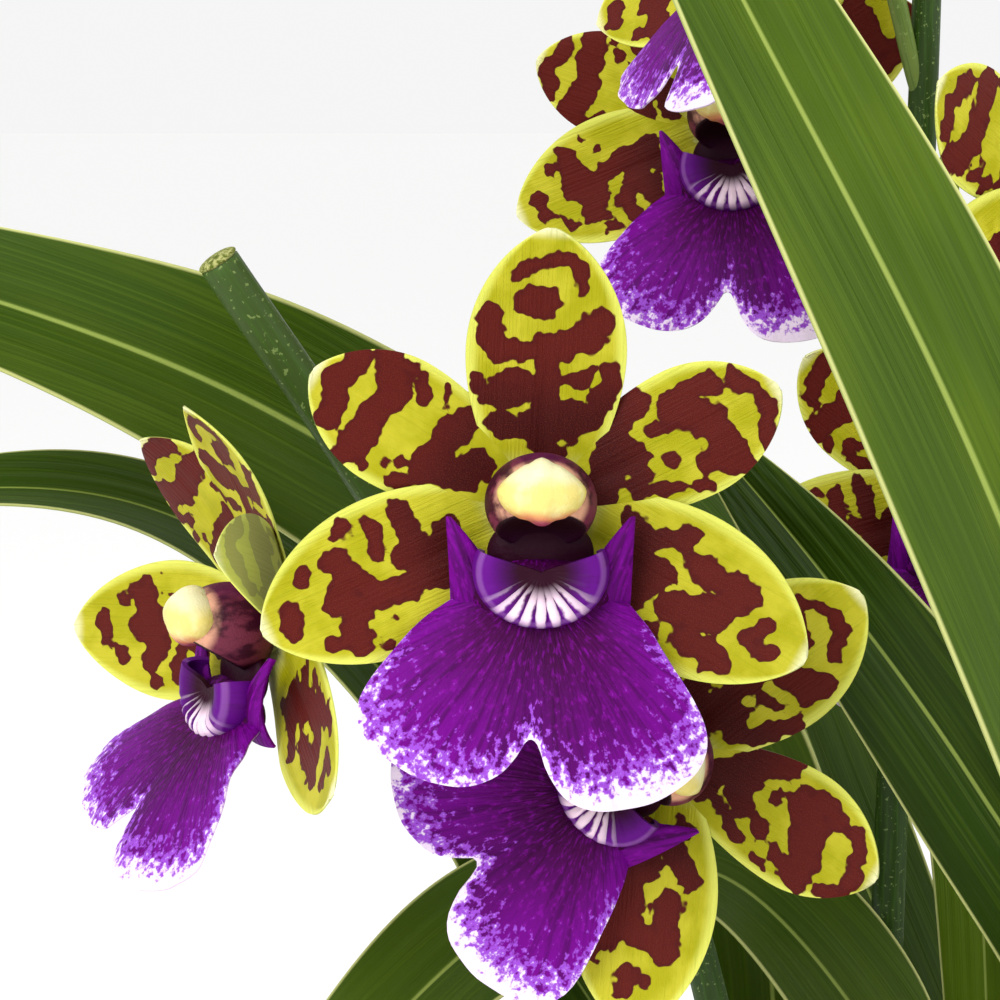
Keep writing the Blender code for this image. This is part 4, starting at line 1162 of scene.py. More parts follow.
# %% Leaf blade
LEAF_GRID = (112, 30)
LEAF_FOOT = 2.6  # half width at the foot
LEAF_RIM, LEAF_FLESH = 0.4, 0.5
MIDRIB_ROUND = 0.004  # how softly the two halves meet


def leaf_width(t, half_width):
    """Half width of a leaf, t 0 at its foot and 1 at its tip."""
    swell = np.sin(np.minimum(t / 0.5, 1.0) * np.pi / 2) ** 1.4
    fall = (1.0 - (np.maximum(t - 0.5, 0.0) / 0.5) ** 2.2).clip(0) ** 0.9
    return np.maximum((LEAF_FOOT + (half_width - LEAF_FOOT) * swell) * fall, 0.5)


def leaf_bit(name, number):
    """The folded and waved blade of one leaf."""
    bulb, turn, path, half_width, face, fold, wave, tint = LEAVES[name]
    x, y, height = BULBS[bulb]
    turn = math.radians(turn)
    top = BARK_LEVEL - BULB_SINK + height + 0.45
    foot = (x + 6.6 * math.cos(turn), y + 6.6 * math.sin(turn), top)
    points = [foot, (foot[0], foot[1], foot[2] + 16.0), *path]
    s, v = grid(*LEAF_GRID)
    spot = through(points, s)
    way = unit(through(points, s + 0.002) - through(points, s - 0.002))
    side = unit(np.cross(way, np.array(face, float)))
    up = unit(np.cross(side, way))
    width = leaf_width(s, half_width)
    grown = np.minimum(s / 0.3, 1.0)
    opening = fold + 0.75 * (1.0 - grown)
    phase = s * 17.0 + 0.65 + 0.65 * np.tanh(v * 4.0)
    ripple = wave * np.sin(phase) * v * v * grown
    off = np.sqrt(v * v + MIDRIB_ROUND) - math.sqrt(MIDRIB_ROUND)
    lift = off * width * np.sin(opening) + ripple
    middle = spot + side * (v * width * np.cos(opening))[..., None] + up * lift[..., None]
    run = np.concatenate([[0], np.cumsum(np.linalg.norm(np.diff(spot[:, 0], axis=0), axis=1))])
    run = np.broadcast_to(run[:, None], v.shape)
    place = np.stack([run, v * width, np.full_like(v, number * 50.0)], -1)
    thickness = LEAF_RIM + LEAF_FLESH * (1.0 - np.abs(v) ** 6)
    return blade(middle, thickness, across=v, along=s, tint=np.full_like(s, tint), place=place)


print("the widest leaf is", 2 * max(leaf[3] for leaf in LEAVES.values()), "mm wide")

# %% [markdown]
# ## Pleats by rule
# Parallel pleats run along a zygopetalum leaf, and its midrib is sunken. They repeat by a rule,
# so a Geometry Nodes tree makes them: it raises each corner along its normal by a cosine of how
# far off the midrib it lies, less a narrow dip in the middle. The number of pleats and both
# depths are inputs, so that one tree serves every leaf. Two small helpers give a tree its named
# inputs and its ending: Realize Instances and Set Material.

# %% Helpers for Geometry Nodes
def new_tree(name, inputs):
    """A Geometry Nodes tree with named inputs: the tree, their outputs, and their ids."""
    tree = bpy.data.node_groups.new(name, "GeometryNodeTree")
    ids = {}
    for label, kind in inputs.items():
        socket = tree.interface.new_socket(label, in_out="INPUT", socket_type=f"NodeSocket{kind}")
        ids[label] = socket.identifier
    tree.interface.new_socket("Geometry", in_out="OUTPUT", socket_type="NodeSocketGeometry")
    return tree, tree.nodes.new("NodeGroupInput").outputs, ids


def end_tree(tree, geometry, finish):
    """Make instances real, give them their material and send them out."""
    plain = put(tree, "GeometryNodeRealizeInstances", {"Geometry": geometry})
    done = put(tree, "GeometryNodeSetMaterial", {"Geometry": plain, "Material": finish})
    tree.links.new(done, tree.nodes.new("NodeGroupOutput").inputs["Geometry"])


def grown_by(obj, tree, ids, values):
    """The mesh that a tree makes of a working object, with its inputs set to values."""
    grow = obj.modifiers.new(tree.name, "NODES")
    grow.node_group = tree
    for label, value in values.items():
        grow[ids[label]] = value
    return evaluated(obj)


print("tree helpers ready")

# %% Build the leaves
PLEATS = {"Pleats": 3.5, "Pleat Depth": 0.12 * MM, "Midrib Depth": 0.45 * MM, "Finish": LEAF}
MIDRIB_SHARPNESS = 260.0


def pleat_tree():
    """Raise pleats across a blade and sink its midrib."""
    tree, source, ids = new_tree("leaf_pleats", {
        "Geometry": "Geometry", "Pleats": "Float", "Pleat Depth": "Float",
        "Midrib Depth": "Float", "Finish": "Material"})
    values = {name: source[name] for name in PLEATS}
    for name in ("across", "side"):
        values[name] = put(tree, "GeometryNodeInputNamedAttribute", {"Name": name})
    for name, operation, *terms in (
            ("off", "ABSOLUTE", "across"),
            ("pleats", "MULTIPLY", "off", "Pleats"),
            ("turns", "MULTIPLY", "pleats", math.pi * 2),
            ("crest", "COSINE", "turns"),
            ("outer", "POWER", "off", 4.0),
            ("fade", "SUBTRACT", 1.0, "outer"),
            ("soft", "MULTIPLY", "crest", "fade"),
            ("raised", "MULTIPLY", "soft", "Pleat Depth"),
            ("square", "POWER", "off", 2.0),
            ("fall", "MULTIPLY", "square", -MIDRIB_SHARPNESS),
            ("dip", "EXPONENT", "fall"),
            ("sunk", "MULTIPLY", "dip", "Midrib Depth"),
            ("level", "SUBTRACT", "raised", "sunk"),
            ("height", "MULTIPLY", "level", "side")):
        terms = [values.get(term, term) for term in terms]
        values[name] = put(tree, "ShaderNodeMath", terms, operation=operation)
    offset = put(tree, "ShaderNodeVectorMath", {
        0: put(tree, "GeometryNodeInputNormal"), "Scale": values["height"]}, operation="SCALE")
    moved = put(tree, "GeometryNodeSetPosition", {"Geometry": source["Geometry"], "Offset": offset})
    end_tree(tree, moved, source["Finish"])
    return tree, ids


tree, ids = pleat_tree()
for number, name in enumerate(LEAVES):
    work = work_object("blade", mesh_of("blade", [leaf_bit(name, number)]))
    mesh = grown_by(work, tree, ids, PLEATS)
    mesh.name = f"strap_leaf_{name}"
    made = piece(mesh.name, mesh, [LEAF], [f"leaf_{name}"])
    print(made.name, len(mesh.polygons), "faces")

# %% [markdown]
# ## Finishes of stalks, buds and the cut
# The stalks are smooth and dark green with fine pale specks under 1 mm, and the stalks of the
# blooms are younger and lighter. The closed buds are pale green with maroon freckles. The old
# stalk's cut face is dry: pale fibres and dark pores, drawn about 0.6 mm wide so that they show.

# %% Stalk skin, bud skin and cut fibre
def stem_finish():
    """Stalk skin: smooth satin green with fine pale specks."""
    mat, tree, place, tint, spot = tissue("stalk_skin", "place tint spot", 0.45, 0.25, flesh=0.05)
    long = grain(tree, place, 1.0, (1.6, 0.10, 1.0))
    specks = grain(tree, spot, 1.4, detail=2.0)
    colour = coats(
        tree, "#1c3904",
        (tint, "#8fa552"),
        ((long, 0.45, 0.65, 0.45), "#3f6118"),
        ((specks, 0.62, 0.70, 0.55), "#93a860"))
    return dress(mat, colour, long, 0.12)


def bud_finish():
    """Bud skin: pale green with maroon freckles, a little translucent."""
    mat, tree, spot = tissue("bud_skin", "spot", 0.42, 0.4, flesh=0.15)
    freckles = grain(tree, spot, 0.7, detail=2.0)
    colour = coats(
        tree, "#7f9a3c",
        ((grain(tree, spot, 0.2), 0.4, 0.6, 1.0), "#a5b758"),
        ((freckles, 0.56, 0.64, 0.85), "#5c2028"))
    return dress(mat, colour, freckles, 0.1)


def cut_finish():
    """Cut fibre: dry and matt, pale fibres and dark pores."""
    mat, tree, spot = tissue("cut_fibre", "spot", 0.85, 0.2)
    fibres = grain(tree, spot, 1.6, detail=4.0, rough=0.7)
    colour = coats(tree, "#5d6a1c", ((fibres, 0.40, 0.60, 1.0), "#c0c078"))
    return dress(mat, colour, fibres, 0.6)


STEM, BUD, CUT = stem_finish(), bud_finish(), cut_finish()
print(STEM.name, BUD.name, "and", CUT.name)

# %% [markdown]
# ## Spikes
# A flower spike is a smooth rod that swells where a small bract clasps it. The stalk of each
# bloom bends out to the bloom's back, and closed buds sit at the tip of the growing spike. A
# bevelled curve would make a rod, but not its swellings, its bracts and its cut face in one
# closed mesh.

# %% Lines of the spikes
# Points, radius at the foot and at the tip, and where the bracts sit as shares of the length
SPIKES = {
    "front": (
        ((-22, -34, 94), (-26, -34, 150), (-34, -29, 200), (-44, -22, 240), (-56, -22, 272),
         (-66, -28, 298), (-69, -34, 322)), 3.0, 1.9, (0.30, 0.55)),
    "back": (
        ((-4, 20, 94), (-4, 20, 150), (-4, 19, 220), (-4, 16, 280), (-4, 13, 330),
         (-4, 12, 380), (-6, 8, 424)), 3.2, 2.0, (0.25, 0.45, 0.62)),
    "cut": (
        ((-44, -10, 94), (-45, -6, 150), (-51, -5, 215), (-70, -11, 262), (-89, -16, 296),
         (-110, -24, 330)), 3.6, 3.0, (0.35,)),
}


PEDICEL_END = 5.45   # mm behind a flower's middle
PEDICEL_EASE = 0.42  # how long it keeps its first and last direction


def pedicel_points(flower):
    """The line of the stalk from the spike to the back of a flower."""
    centre, facing, _, _, _, spike, height = FLOWERS[flower]
    facing = unit(np.array(facing, float))
    line = through(SPIKES[spike][0], np.linspace(0, 1, 401))
    start = line[np.argmax(line[:, 2] >= height)]
    end = np.array(centre, float) - facing * PEDICEL_END
    reach = np.linalg.norm(end - start) * PEDICEL_EASE
    bend = end - facing * reach
    first = start + unit(unit(end - start) + np.array((0, 0, 0.5))) * reach
    u = np.linspace(0, 1, 30)[:, None]
    return (start * (1 - u) ** 3 + first * 3 * u * (1 - u) ** 2 + bend * 3 * u * u * (1 - u)
            + end * u**3)


print(len(SPIKES), "spikes")

# %% Bracts and buds
BRACT_LENGTH, BRACT_GRID = 13.0, (24, 14)
BUD_SEAM = 0.06


def side_of(way, turn):
    """A direction at right angles to way, turned about it."""
    out = Matrix.Rotation(turn, 3, Vector(way)) @ Vector(way).orthogonal().normalized()
    return np.array(out)


def bract_bit(points, share_along, turn):
    """A small pointed scale that clasps the spike."""
    spot = through(points, np.array(share_along))
    way = unit(through(points, np.array(share_along + 0.01)) - spot)
    out = side_of(way, turn)
    side = np.cross(way, out)
    s, v = grid(*BRACT_GRID)
    width = 2.6 * (1.0 - s**2) + 0.35
    lift = 1.0 + 2.8 * s - 0.5 * v * v * width * (1 - s)
    body = spot + way * (s * BRACT_LENGTH)[..., None] + out * lift[..., None]
    body = body + side * (v * width)[..., None]
    place = np.stack([v * width, s * BRACT_LENGTH, np.zeros_like(s)], -1)
    return blade(body, 0.7, tint=np.full_like(s, 0.55), place=place)


def bud_bulge(verts):
    """Three seams along a bud."""
    seam = np.arctan2(verts[:, 1], verts[:, 0])
    out = np.hypot(verts[:, 0], verts[:, 1])
    return 1.0 - BUD_SEAM * np.abs(np.cos(seam * 1.5)) ** 8 * out


def bud_bit(spot, way, size):
    """A closed bud with three seams."""
    turn = Vector(way).to_track_quat("Z", "Y").to_matrix()
    body = ball((0, 0, 0), (1, 1, 1), 36, 26, slot=1, bulge=bud_bulge)
    verts = body["verts"]
    slim = 1.0 - 0.35 * np.maximum(verts[:, 2:], 0.0)
    shape = np.concatenate([verts[:, :2] * size * 0.5 * slim, verts[:, 2:] * size], 1)
    body["verts"] = shape @ np.array(turn).T + np.array(spot)
    return body


print("a bract is", BRACT_LENGTH, "mm long")

# %% Build the spikes
SPIKE_STEPS, SPIKE_SIDES = 150, 28
BRACT_SWELL = 0.55  # mm that the spike is thicker where a bract clasps it
TINT_OLD, TINT_GROWING, TINT_YOUNG = 0.12, 0.04, 0.6
SIDE_BUDS = ((0.965, 0.6, 7.0), (0.93, 3.4, 8.5))  # share of the length, turn, size
BUD_STALK = 9.0


def side_bud_bits(points, share_along, turn, size):
    """A bud beside the spike's tip, on its short stalk."""
    spot = through(points, np.array(share_along))
    along = unit(through(points, np.array(share_along + 0.01)) - spot)
    lean = unit(side_of(along, turn) + along * 0.9)
    stalk = spot + lean * np.linspace(0, BUD_STALK, 8)[:, None]
    return [tube(stalk, 1.1, 16, tint=TINT_YOUNG), bud_bit(spot + lean * 13.0, lean, size)]


def spike_bits(name):
    """Stem, pedicels, bracts and buds of one spike."""
    points, foot, tip, bracts = SPIKES[name]
    shares = np.linspace(0, 1, SPIKE_STEPS)
    radii = foot + (tip - foot) * shares
    for spot in bracts:
        radii = radii + BRACT_SWELL * np.exp(-(((shares - spot) / 0.012) ** 2))
    old = name == "cut"
    tint = TINT_OLD if old else TINT_GROWING
    bits = [tube(through(points, shares), radii, SPIKE_SIDES, tint=tint)]
    for flower, row in FLOWERS.items():
        if row[5] == name:
            stalk = pedicel_points(flower)
            bits.append(tube(stalk, np.linspace(1.3, 1.7, len(stalk)), 20, tint=TINT_YOUNG))
    bits += [bract_bit(points, spot, spot * 9.0) for spot in bracts]
    end, last = through(points, np.array([0.99, 1.0]))
    way = unit(last - end)
    if name == "back":
        bits.append(bud_bit(last + way * 5.0, way, 8.0))
        for side_bud in SIDE_BUDS:
            bits += side_bud_bits(points, *side_bud)
    if old:
        face = ball((0, 0, 0), (tip * 1.02, tip * 1.02, 0.8), 32, 16, slot=2)
        turn = np.array(Vector(way).to_track_quat("Z", "Y").to_matrix())
        face["verts"] = face["verts"] @ turn.T + last + way * 0.55
        bits.append(face)
    return bits


for name in SPIKES:
    mesh = mesh_of(f"flower_spike_{name}", spike_bits(name))
    made = piece(mesh.name, mesh, [STEM, BUD, CUT], [f"spike_{name}"])
    print(made.name, len(mesh.polygons), "faces")

# %% [markdown]
# ## Finishes of bulbs and sheaths
# A pseudobulb is a swollen stem that stores water. Its skin is glossy olive, yellowing in
# patches and brown where it meets the bark. Dead leaf sheaths wrap its lower half: dry tan
# paper with long fibres, 0.7 mm apart, and darker torn places.

# %% Bulb skin and dry sheath
def bulb_finish():
    """Bulb skin: glossy olive, yellowing in patches, brown towards the bark."""
    mat, tree, spot = tissue("bulb_skin", "spot", 0.38, 0.45, flesh=0.06)
    high = put(tree, "ShaderNodeSeparateXYZ", (spot,), 2)
    lines = grain(tree, spot, 0.5, (1.6, 1.6, 0.08))
    colour = coats(
        tree, "#56701c",
        ((grain(tree, spot, 0.06), 0.4, 0.65, 1.0), "#8d9440"),
        ((lines, 0.5, 0.68, 0.5), "#3c5210"),
        ((high, 122.0, 108.0, 0.8), "#6e4f28"))
    return dress(mat, colour, lines, 0.5)


def sheath_finish():
    """Dry sheath: tan paper with long fibres and torn, darker places."""
    mat, tree, place = tissue("papery_sheath", "place", 0.75, 0.25)
    fibres = grain(tree, place, 1.0, (1.4, 0.06, 1.0), detail=4.0)
    colour = coats(
        tree, "#7d6136",
        ((fibres, 0.38, 0.64, 1.0), "#cdb686"),
        ((grain(tree, place, 0.12), 0.55, 0.75, 0.7), "#4c371c"))
    return dress(mat, colour, fibres, 0.5)


BULB, SHEATH = bulb_finish(), sheath_finish()
print(BULB.name, "and", SHEATH.name)

# %% [markdown]
# ## Pseudobulbs
# The clump is five fat ribbed bulbs tied by a creeping stem, which runs half sunk in the bark.
# The bulbs are turned bodies whose radius swells with each rib. The sheaths are blades wrapped
# round them in the same way, a little further out and flared at their torn tops, so they follow
# the ribs without a Shrinkwrap.

# %% Build the clump
BULB_OUTLINE = ((0.0, 0.70), (0.16, 0.90), (0.38, 1.0), (0.62, 0.97), (0.86, 0.80),
                (1.0, BULB_TOP / BULB_RADIUS - 0.03))  # share of the height, share of the radius
BULB_SIDES, BULB_RINGS = 76, 44
BULB_RIB = 0.035
SHEATHS, SHEATH_GRID, SHEATH_THICKNESS = 3, (20, 24), 0.35


def bulb_body(height, number):
    """One ribbed bulb standing at the origin."""
    line = through(BULB_OUTLINE, np.linspace(0, 1, BULB_RINGS))
    profile = [(0.0, height), (BULB_TOP - 2.4, height), (BULB_TOP - 1.1, height - 0.25)]
    profile += [(wide * BULB_RADIUS, high * height - 0.6 * high**20) for high, wide in line[::-1]]
    profile.append((0.0, 0.0))

    def ribs(radius, turn, _):
        return radius * (1.0 + BULB_RIB * np.cos(turn * 5) + 0.012 * np.cos(turn * 19 + number))

    return lathe(profile, BULB_SIDES, wobble=ribs)


def sheath_bit(x, y, height, number, sheath):
    """One papery sheath round a bulb's lower half."""
    s, v = grid(*SHEATH_GRID)
    turn = number * 1.3 + sheath * 2.2 + v * (1.15 - 0.35 * s)
    tall = (26.0 + 7.0 * math.sin(number * 2.1 + sheath)) * (1 - 0.25 * v * v)
    high = 6.0 + s * tall
    wide = np.interp(high / height, *np.transpose(BULB_OUTLINE))
    radius = wide * BULB_RADIUS * (1.0 + BULB_RIB * np.cos(turn * 5)) + 0.9 + 0.5 * sheath
    radius = radius + 1.6 * s**3 + 0.25 * np.sin(turn * 23.0) * s
    points = np.stack([x + radius * np.cos(turn), y + radius * np.sin(turn), BULB_FOOT + high], -1)
    place = np.stack([turn * 12.0, high, np.full_like(s, number * 7.0 + sheath)], -1)
    return blade(points, SHEATH_THICKNESS, slot=1, place=place)


BULB_FOOT = BARK_LEVEL - BULB_SINK
bits = []
for number, (x, y, height) in enumerate(BULBS.values()):
    body = bulb_body(height, number)
    body["verts"] = body["verts"] + np.array((x, y, BULB_FOOT))
    bits.append(body)
    bits += [sheath_bit(x, y, height, number, sheath) for sheath in range(SHEATHS)]
RUNNER_STEPS, RUNNER_RADIUS, RUNNER_LEVEL = 24, 6.0, 7.0
middle = np.array((*BULBS["middle"][:2], BULB_FOOT + RUNNER_LEVEL))
for name, (x, y, _) in BULBS.items():
    if name != "middle":
        end = np.array((x, y, middle[2]))
        line = middle + (end - middle) * np.linspace(0, 1, RUNNER_STEPS)[:, None]
        joints = 0.4 * np.sin(np.arange(RUNNER_STEPS) * 1.1)
        bits.append(tube(line, RUNNER_RADIUS + joints, 32))
mesh = mesh_of("ribbed_pseudobulbs", bits)
made = piece(mesh.name, mesh, [BULB, SHEATH], ["pseudobulb_clump"])
print(made.name, len(mesh.polygons), "faces")

# %% [markdown]
# ## Finish of the bark
# Orchid bark is chopped pine bark: rough and matt, brown, greyer and redder from chip to chip.
# It splits in layers about 1.3 mm thick, and its broken surface has fibres just under 1 mm. The
# chip's own tint is a value that the tree which lays the chips gives it.

# %% Rough pine bark
def bark_finish():
    """Pine bark: rough and matt, layered brown flakes."""
    mat, tree, spot, tint = tissue("bark_flakes", "spot tint", 0.92, 0.2)
    layers = grain(tree, spot, 0.22, (1.0, 1.0, 3.5), detail=5.0, rough=0.65)
    fine = grain(tree, spot, 1.3, detail=4.0, rough=0.7)
    colour = coats(
        tree, "#3f2415",
        (tint, "#8a5a3a"),
        ((layers, 0.42, 0.62, 0.7), "#5b3823"),
        ((fine, 0.55, 0.72, 0.6), "#a88a6c"))
    height = put(tree, "ShaderNodeMath", (fine, 0.5, layers), operation="MULTIPLY_ADD")
    return dress(mat, colour, height, 0.9)


BARK = bark_finish()
print(BARK.name, len(BARK.node_tree.nodes), "nodes")

# %% [markdown]
# ## Bark chips
# Hundreds of chips lie on top of the filling, and they repeat, so a Geometry Nodes tree lays
# them. It scatters points on a disc, no two nearer than the spacing, and puts on each one of
# five chip shapes, turned and sized at random from a fixed seed. A rigid body drop would look
# as good and take far longer. Each chip has only 96 faces.

# %% Five chip shapes
CHIP_SHAPES, CHIP_CUTS = 5, 3


def chip_mesh(number):
    """One flaky chip about 12 mm long."""
    bm = bmesh.new()
    bmesh.ops.create_cube(bm, size=1.0)
    bmesh.ops.subdivide_edges(bm, edges=bm.edges, cuts=CHIP_CUTS, use_grid_fill=True)
    chance = random.Random(SEED * 100 + number)
    size = (14.0 + chance.uniform(-3, 4), 8.5 + chance.uniform(-2, 2),
            3.2 + chance.uniform(-0.8, 1))
    for vert in bm.verts:
        rounder = 1.0 - 0.16 * (abs(vert.co.x) + abs(vert.co.y)) ** 2
        jitter = Vector([chance.uniform(-0.06, 0.06) for _ in range(3)])
        spot = (vert.co + jitter) * rounder
        vert.co = Vector([c * s * MM for c, s in zip(spot, size)])
    mesh = bpy.data.meshes.new(f"chip_{number}")
    bm.to_mesh(mesh)
    bm.free()
    return mesh


chips = bpy.data.collections.new("chip_shapes")
for number in range(CHIP_SHAPES):
    chips.objects.link(bpy.data.objects.new(f"chip_{number}", chip_mesh(number)))

# %% Tree that lays the chips
CHIP_TILT, SIZE_SEED, TINT_SEED = 0.45, 11, 23


def chip_tree():
    """Lay chips on a surface."""
    tree, source, ids = new_tree("bark_chips", {
        "Geometry": "Geometry", "Chips": "Collection", "Spacing": "Float", "Density": "Float",
        "Smallest": "Float", "Largest": "Float", "Seed": "Int", "Finish": "Material"})
    spots = put(tree, "GeometryNodeDistributePointsOnFaces", {
        "Mesh": source["Geometry"], "Distance Min": source["Spacing"],
        "Density Max": source["Density"], "Seed": source["Seed"]}, distribute_method="POISSON")
    shapes = put(tree, "GeometryNodeCollectionInfo", {
        "Collection": source["Chips"], "Separate Children": True, "Reset Children": True})
    turn = put(tree, "FunctionNodeRandomValue", {
        0: (-CHIP_TILT, -CHIP_TILT, 0.0), 1: (CHIP_TILT, CHIP_TILT, 6.28),
        "Seed": source["Seed"]}, data_type="FLOAT_VECTOR")
    size = put(tree, "FunctionNodeRandomValue", {
        2: source["Smallest"], 3: source["Largest"], "Seed": SIZE_SEED}, 1, data_type="FLOAT")
    laid = put(tree, "GeometryNodeInstanceOnPoints", {
        "Points": spots, "Instance": shapes, "Pick Instance": True, "Rotation": turn,
        "Scale": size})
    tint = put(tree, "FunctionNodeRandomValue", {2: 0.0, 3: 1.0, "Seed": TINT_SEED}, 1,
               data_type="FLOAT")
    laid = put(tree, "GeometryNodeStoreNamedAttribute", {
        "Geometry": laid, "Name": "tint", "Value": tint}, data_type="FLOAT", domain="INSTANCE")
    end_tree(tree, laid, source["Finish"])
    return tree, ids


tree, ids = chip_tree()
print(tree.name, len(tree.nodes), "nodes")

# %% Build the bark
POT_HEIGHT, POT_FOOT, POT_TOP, POT_WALL, POT_FLOOR = 120.0, 54.0, 74.0, 5.0, 7.0
CHIP_MARGIN = 7.0  # mm that the chips' middles keep off the wall


def wall(height):
    """Outer radius of the pot at a height."""
    return POT_FOOT + (POT_TOP - POT_FOOT) * height / POT_HEIGHT


INNER_TOP = wall(BARK_LEVEL) - POT_WALL - 0.95
INNER_FOOT = wall(POT_FLOOR) - POT_WALL - 0.35
disc = bmesh.new()
bmesh.ops.create_circle(disc, cap_ends=True, segments=64, radius=(INNER_TOP - CHIP_MARGIN) * MM)
bmesh.ops.translate(disc, vec=(0, 0, (BARK_LEVEL - 0.5) * MM), verts=disc.verts)
disc_mesh = bpy.data.meshes.new("chip_ground")
disc.to_mesh(disc_mesh)
disc.free()
chip_layer = grown_by(work_object("chip_ground", disc_mesh), tree, ids, {
    "Chips": chips, "Spacing": 4.2 * MM, "Density": 60000.0, "Smallest": 0.65, "Largest": 1.05,
    "Seed": SEED, "Finish": BARK})
cleared(chips)
body = lathe(((0, BARK_LEVEL - 1.5), (INNER_TOP * 0.5, BARK_LEVEL - 1.5),
              (INNER_TOP, BARK_LEVEL - 1.0), (INNER_FOOT, POT_FLOOR + 0.35),
              (0, POT_FLOOR + 0.35)), 64, tint=0.2)
joined = bmesh.new()
joined.from_mesh(mesh_of("bark_body", [body]))
joined.from_mesh(chip_layer)
bark_mesh = bpy.data.meshes.new("pine_bark_filling")
joined.to_mesh(bark_mesh)
joined.free()
made = piece("pine_bark_filling", bark_mesh, [BARK], ["bark_medium"])
print(made.name, len(bark_mesh.polygons), "faces")

# %% [markdown]
# ## Finish of the pot
# The pot is fired clay: warm and porous, with faint turning marks 1.1 mm apart, pores about
# 0.5 mm wide and a bloom of lime that watering leaves, strongest near the foot. Clay is matt,
# so its roughness is near 0.9.

# %% Fired clay
def clay_finish():
    """Fired clay: matt and porous, with turning marks and a bloom of lime near the foot."""
    mat, tree, spot = tissue("fired_clay", "spot", 0.88, 0.2)
    high = put(tree, "ShaderNodeSeparateXYZ", (spot,), 2)
    cloud = grain(tree, spot, 0.05, detail=6.0, rough=0.65)
    rings = grain(tree, spot, 0.9, (0.03, 0.03, 1.0))
    pores = grain(tree, spot, 1.8, rough=0.7)
    lime = grain(tree, spot, 0.09, detail=8.0, rough=0.7)
    colour = coats(
        tree, "#a85f42",
        ((cloud, 0.30, 0.70, 1.0), "#bb7553"),
        ((pores, 0.58, 0.72, 0.4), "#7c3d28"),
        ((lime, 0.46, 0.78, 1.0), (high, 95.0, 5.0, 0.7, 0.15), "#d8c0ac"))
    height = put(tree, "ShaderNodeMath", (pores, 0.35, rings), operation="MULTIPLY_ADD")
    return dress(mat, colour, height, 0.5)


CLAY = clay_finish()
print(CLAY.name, len(CLAY.node_tree.nodes), "nodes")

# %% [markdown]
# ## Pot
# A plain thrown pot is one turned body with a rounded rim band, so its profile is listed from
# the middle of the inner floor, up the inside, over the rim and down to the middle of the foot.
# Its radius wavers a little with height and angle, as under a potter's hand. Four drain holes
# are cut through its floor.

# %% Pot profile
RIM_BAND, RIM_STANDS_OUT = 22.0, 4.0
band = POT_HEIGHT - RIM_BAND
rim = POT_TOP + RIM_STANDS_OUT
profile = [(0, POT_FLOOR), (30, POT_FLOOR), (wall(POT_FLOOR) - POT_WALL - 2, POT_FLOOR)]
profile += [(wall(h) - POT_WALL, h) for h in np.linspace(POT_FLOOR + 2, POT_HEIGHT - 2, 30)]
profile += [(wall(POT_HEIGHT) - POT_WALL + 0.6, POT_HEIGHT - 0.6), (POT_TOP - 3.4, POT_HEIGHT),
            (rim - 2.4, POT_HEIGHT), (rim - 0.7, POT_HEIGHT - 0.7), (rim, POT_HEIGHT - 2.4)]
profile += [(rim - 1.5 * k, POT_HEIGHT - 2.4 + (band + 2.4 - POT_HEIGHT) * k)
            for k in np.linspace(0.1, 0.96, 10)]
profile += [(rim - 2.1, band - 0.6), (wall(band) + 0.8, band - 1.2), (wall(band - 3), band - 3)]
profile += [(wall(h), h) for h in np.linspace(band - 5, 3, 40)]
profile += [(POT_FOOT, 1.4), (POT_FOOT - 0.4, 0.4), (POT_FOOT - 1.4, 0.0), (30, 0.0), (0, 0.0)]


def thrown(radius, turn, height):
    """Faint turning marks and a hand's unevenness; the rim stays inside the solid's box."""
    marks = 0.10 * np.sin(height * 0.9 + turn) + 0.12 * np.sin(turn * 3 + height * 0.05)
    return radius + marks * (radius > 40) - 0.25 * (radius > 77)


print("the pot's profile has", len(profile), "points")

# %% Build the pot
POT_SIDES, DRAINS, DRAIN_RADIUS, DRAIN_CIRCLE = 160, 4, 5, 30

pot_work = work_object("pot_body", mesh_of("pot_body", [lathe(profile, POT_SIDES, wobble=thrown)]))
outward(pot_work.data)
holes = []
for number in range(DRAINS):
    turn = 2 * math.pi * (number + 0.5) / DRAINS
    hole = lathe(((0, -4), (DRAIN_RADIUS, -4), (DRAIN_RADIUS, 14), (0, 14)), 32)
    middle = (DRAIN_CIRCLE * math.cos(turn), DRAIN_CIRCLE * math.sin(turn), 0)
    hole["verts"] = hole["verts"] + np.array(middle)
    holes.append(hole)
drills = cut_by(pot_work, "pot_drills", holes)
mesh = evaluated(pot_work)
mesh.name = "thrown_clay_pot"
cleared(drills)
made = piece(mesh.name, mesh, [CLAY], ["pot"])
print(made.name, len(mesh.polygons), "faces")

# %% [markdown]
# ## Floor and sky
# The photo is a cut-out on white. A matt paper floor large enough to reach the horizon, glowing
# very faintly so that it comes out as white as the sky, is close to that and still takes a
# soft shadow under the pot.

# %% Pale floor and soft sky
FLOOR_REACH = 60.0  # metres
FLOOR_GLOW, SKY_STRENGTH = 0.10, 0.95

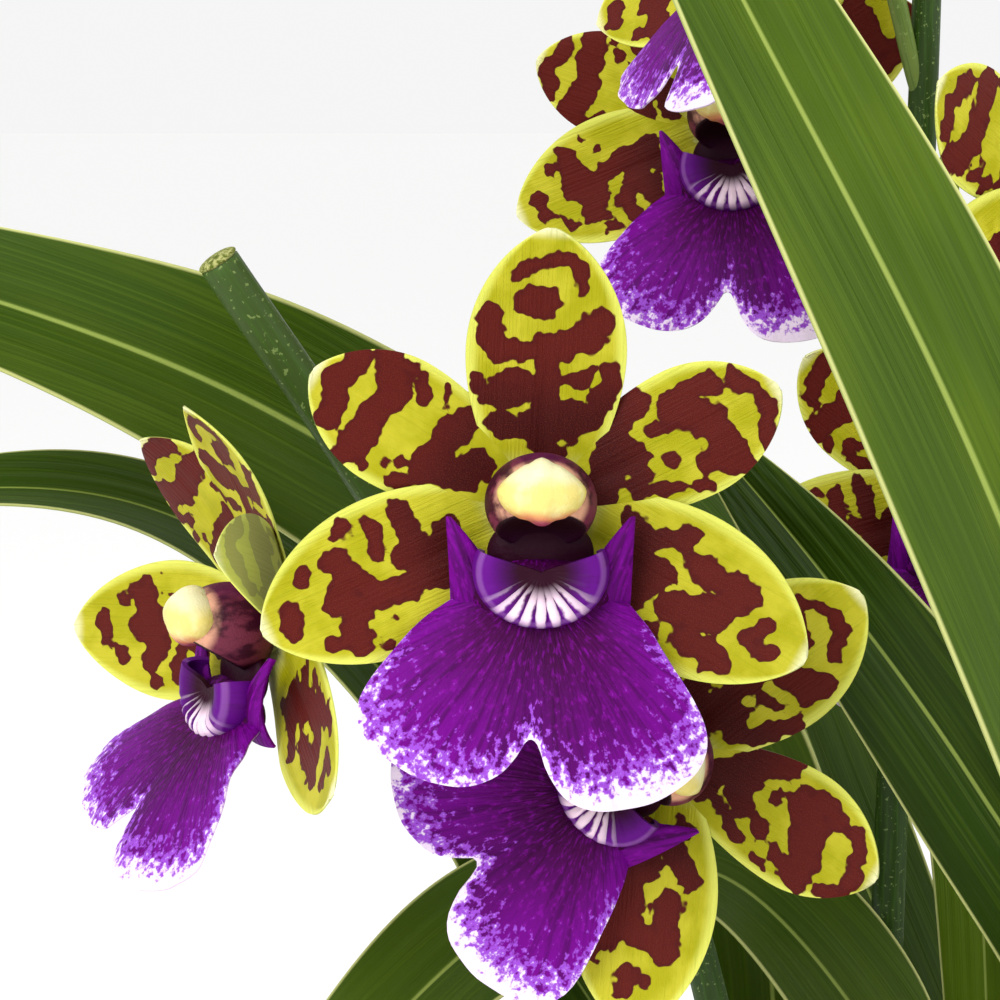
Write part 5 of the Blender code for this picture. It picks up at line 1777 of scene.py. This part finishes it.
far = FLOOR_REACH
floor_mesh = bpy.data.meshes.new("pale_floor")
floor_mesh.from_pydata([(-far, -far, 0), (far, -far, 0), (far, far, 0), (-far, far, 0)], [],
                       [[0, 1, 2, 3]])
paper, paper_tree, spot = tissue("matt_paper", "spot", 0.9, 0.1)
paper_shader = paper_tree.nodes["Principled BSDF"]
sheet = coats(paper_tree, "#f1f1f0", (grain(paper_tree, spot, 0.8), "#f7f7f7"))
paper_tree.links.new(sheet, paper_shader.inputs["Base Color"])
paper_shader.inputs["Emission Color"].default_value = (1.0, 1.0, 1.0, 1.0)
paper_shader.inputs["Emission Strength"].default_value = FLOOR_GLOW
floor_mesh.materials.append(paper)
floor = bpy.data.objects.new("pale_floor", floor_mesh)
bpy.context.scene.collection.objects.link(floor)

world = bpy.data.worlds.new("soft_sky")
world.use_nodes = True
world.node_tree.nodes["Background"].inputs[0].default_value = linear("#fbfbfb")
world.node_tree.nodes["Background"].inputs[1].default_value = SKY_STRENGTH
bpy.context.scene.world = world
print("the floor is", 2 * FLOOR_REACH, "m wide")

# %% [markdown]
# ## Lamps and camera
# The photo is lit softly from the front and a little from the left, so two large area lamps
# stand there, with the stronger one on the left. The camera looks ten degrees down at the main
# bloom through a long lens, which shows a pixel as 0.13 mm there. The Standard view transform
# keeps the greens and violets as vivid as they are in the photo.

# %% Lamps and camera
def lamp(name, spot, aim, size, power):
    """A large soft lamp."""
    light = bpy.data.lights.new(name, "AREA")
    light.size = size
    light.energy = power
    obj = bpy.data.objects.new(name, light)
    obj.location = spot
    obj.rotation_euler = (Vector(aim) - Vector(spot)).to_track_quat("-Z", "Y").to_euler()
    bpy.context.scene.collection.objects.link(obj)


AIM = (-0.05, -0.02, 0.28)
lamp("key", (-0.7, -1.0, 1.1), AIM, 0.7, 12.0)
lamp("fill", (0.9, -0.8, 0.6), AIM, 0.9, 5.0)

view = bpy.context.scene.view_settings
view.view_transform = "Standard"
view.look = "None"
VIEW_DOWN, VIEW_DISTANCE = 10.0, 0.28
VIEW_CENTRE = Vector((-0.0702, -0.055, 0.3013))
camera_data = bpy.data.cameras.new("camera")
camera_data.lens = 77.5
camera_data.sensor_width = 36.0
camera_data.clip_start = 0.01
camera = bpy.data.objects.new("camera", camera_data)
pitch = math.radians(VIEW_DOWN)
camera.location = VIEW_CENTRE - Vector((0.0, math.cos(pitch), -math.sin(pitch))) * VIEW_DISTANCE
camera.rotation_euler = (math.radians(90.0 - VIEW_DOWN), 0.0, 0.0)
bpy.context.scene.collection.objects.link(camera)
bpy.context.scene.camera = camera
print("the camera stands at", [round(value, 3) for value in camera.location])
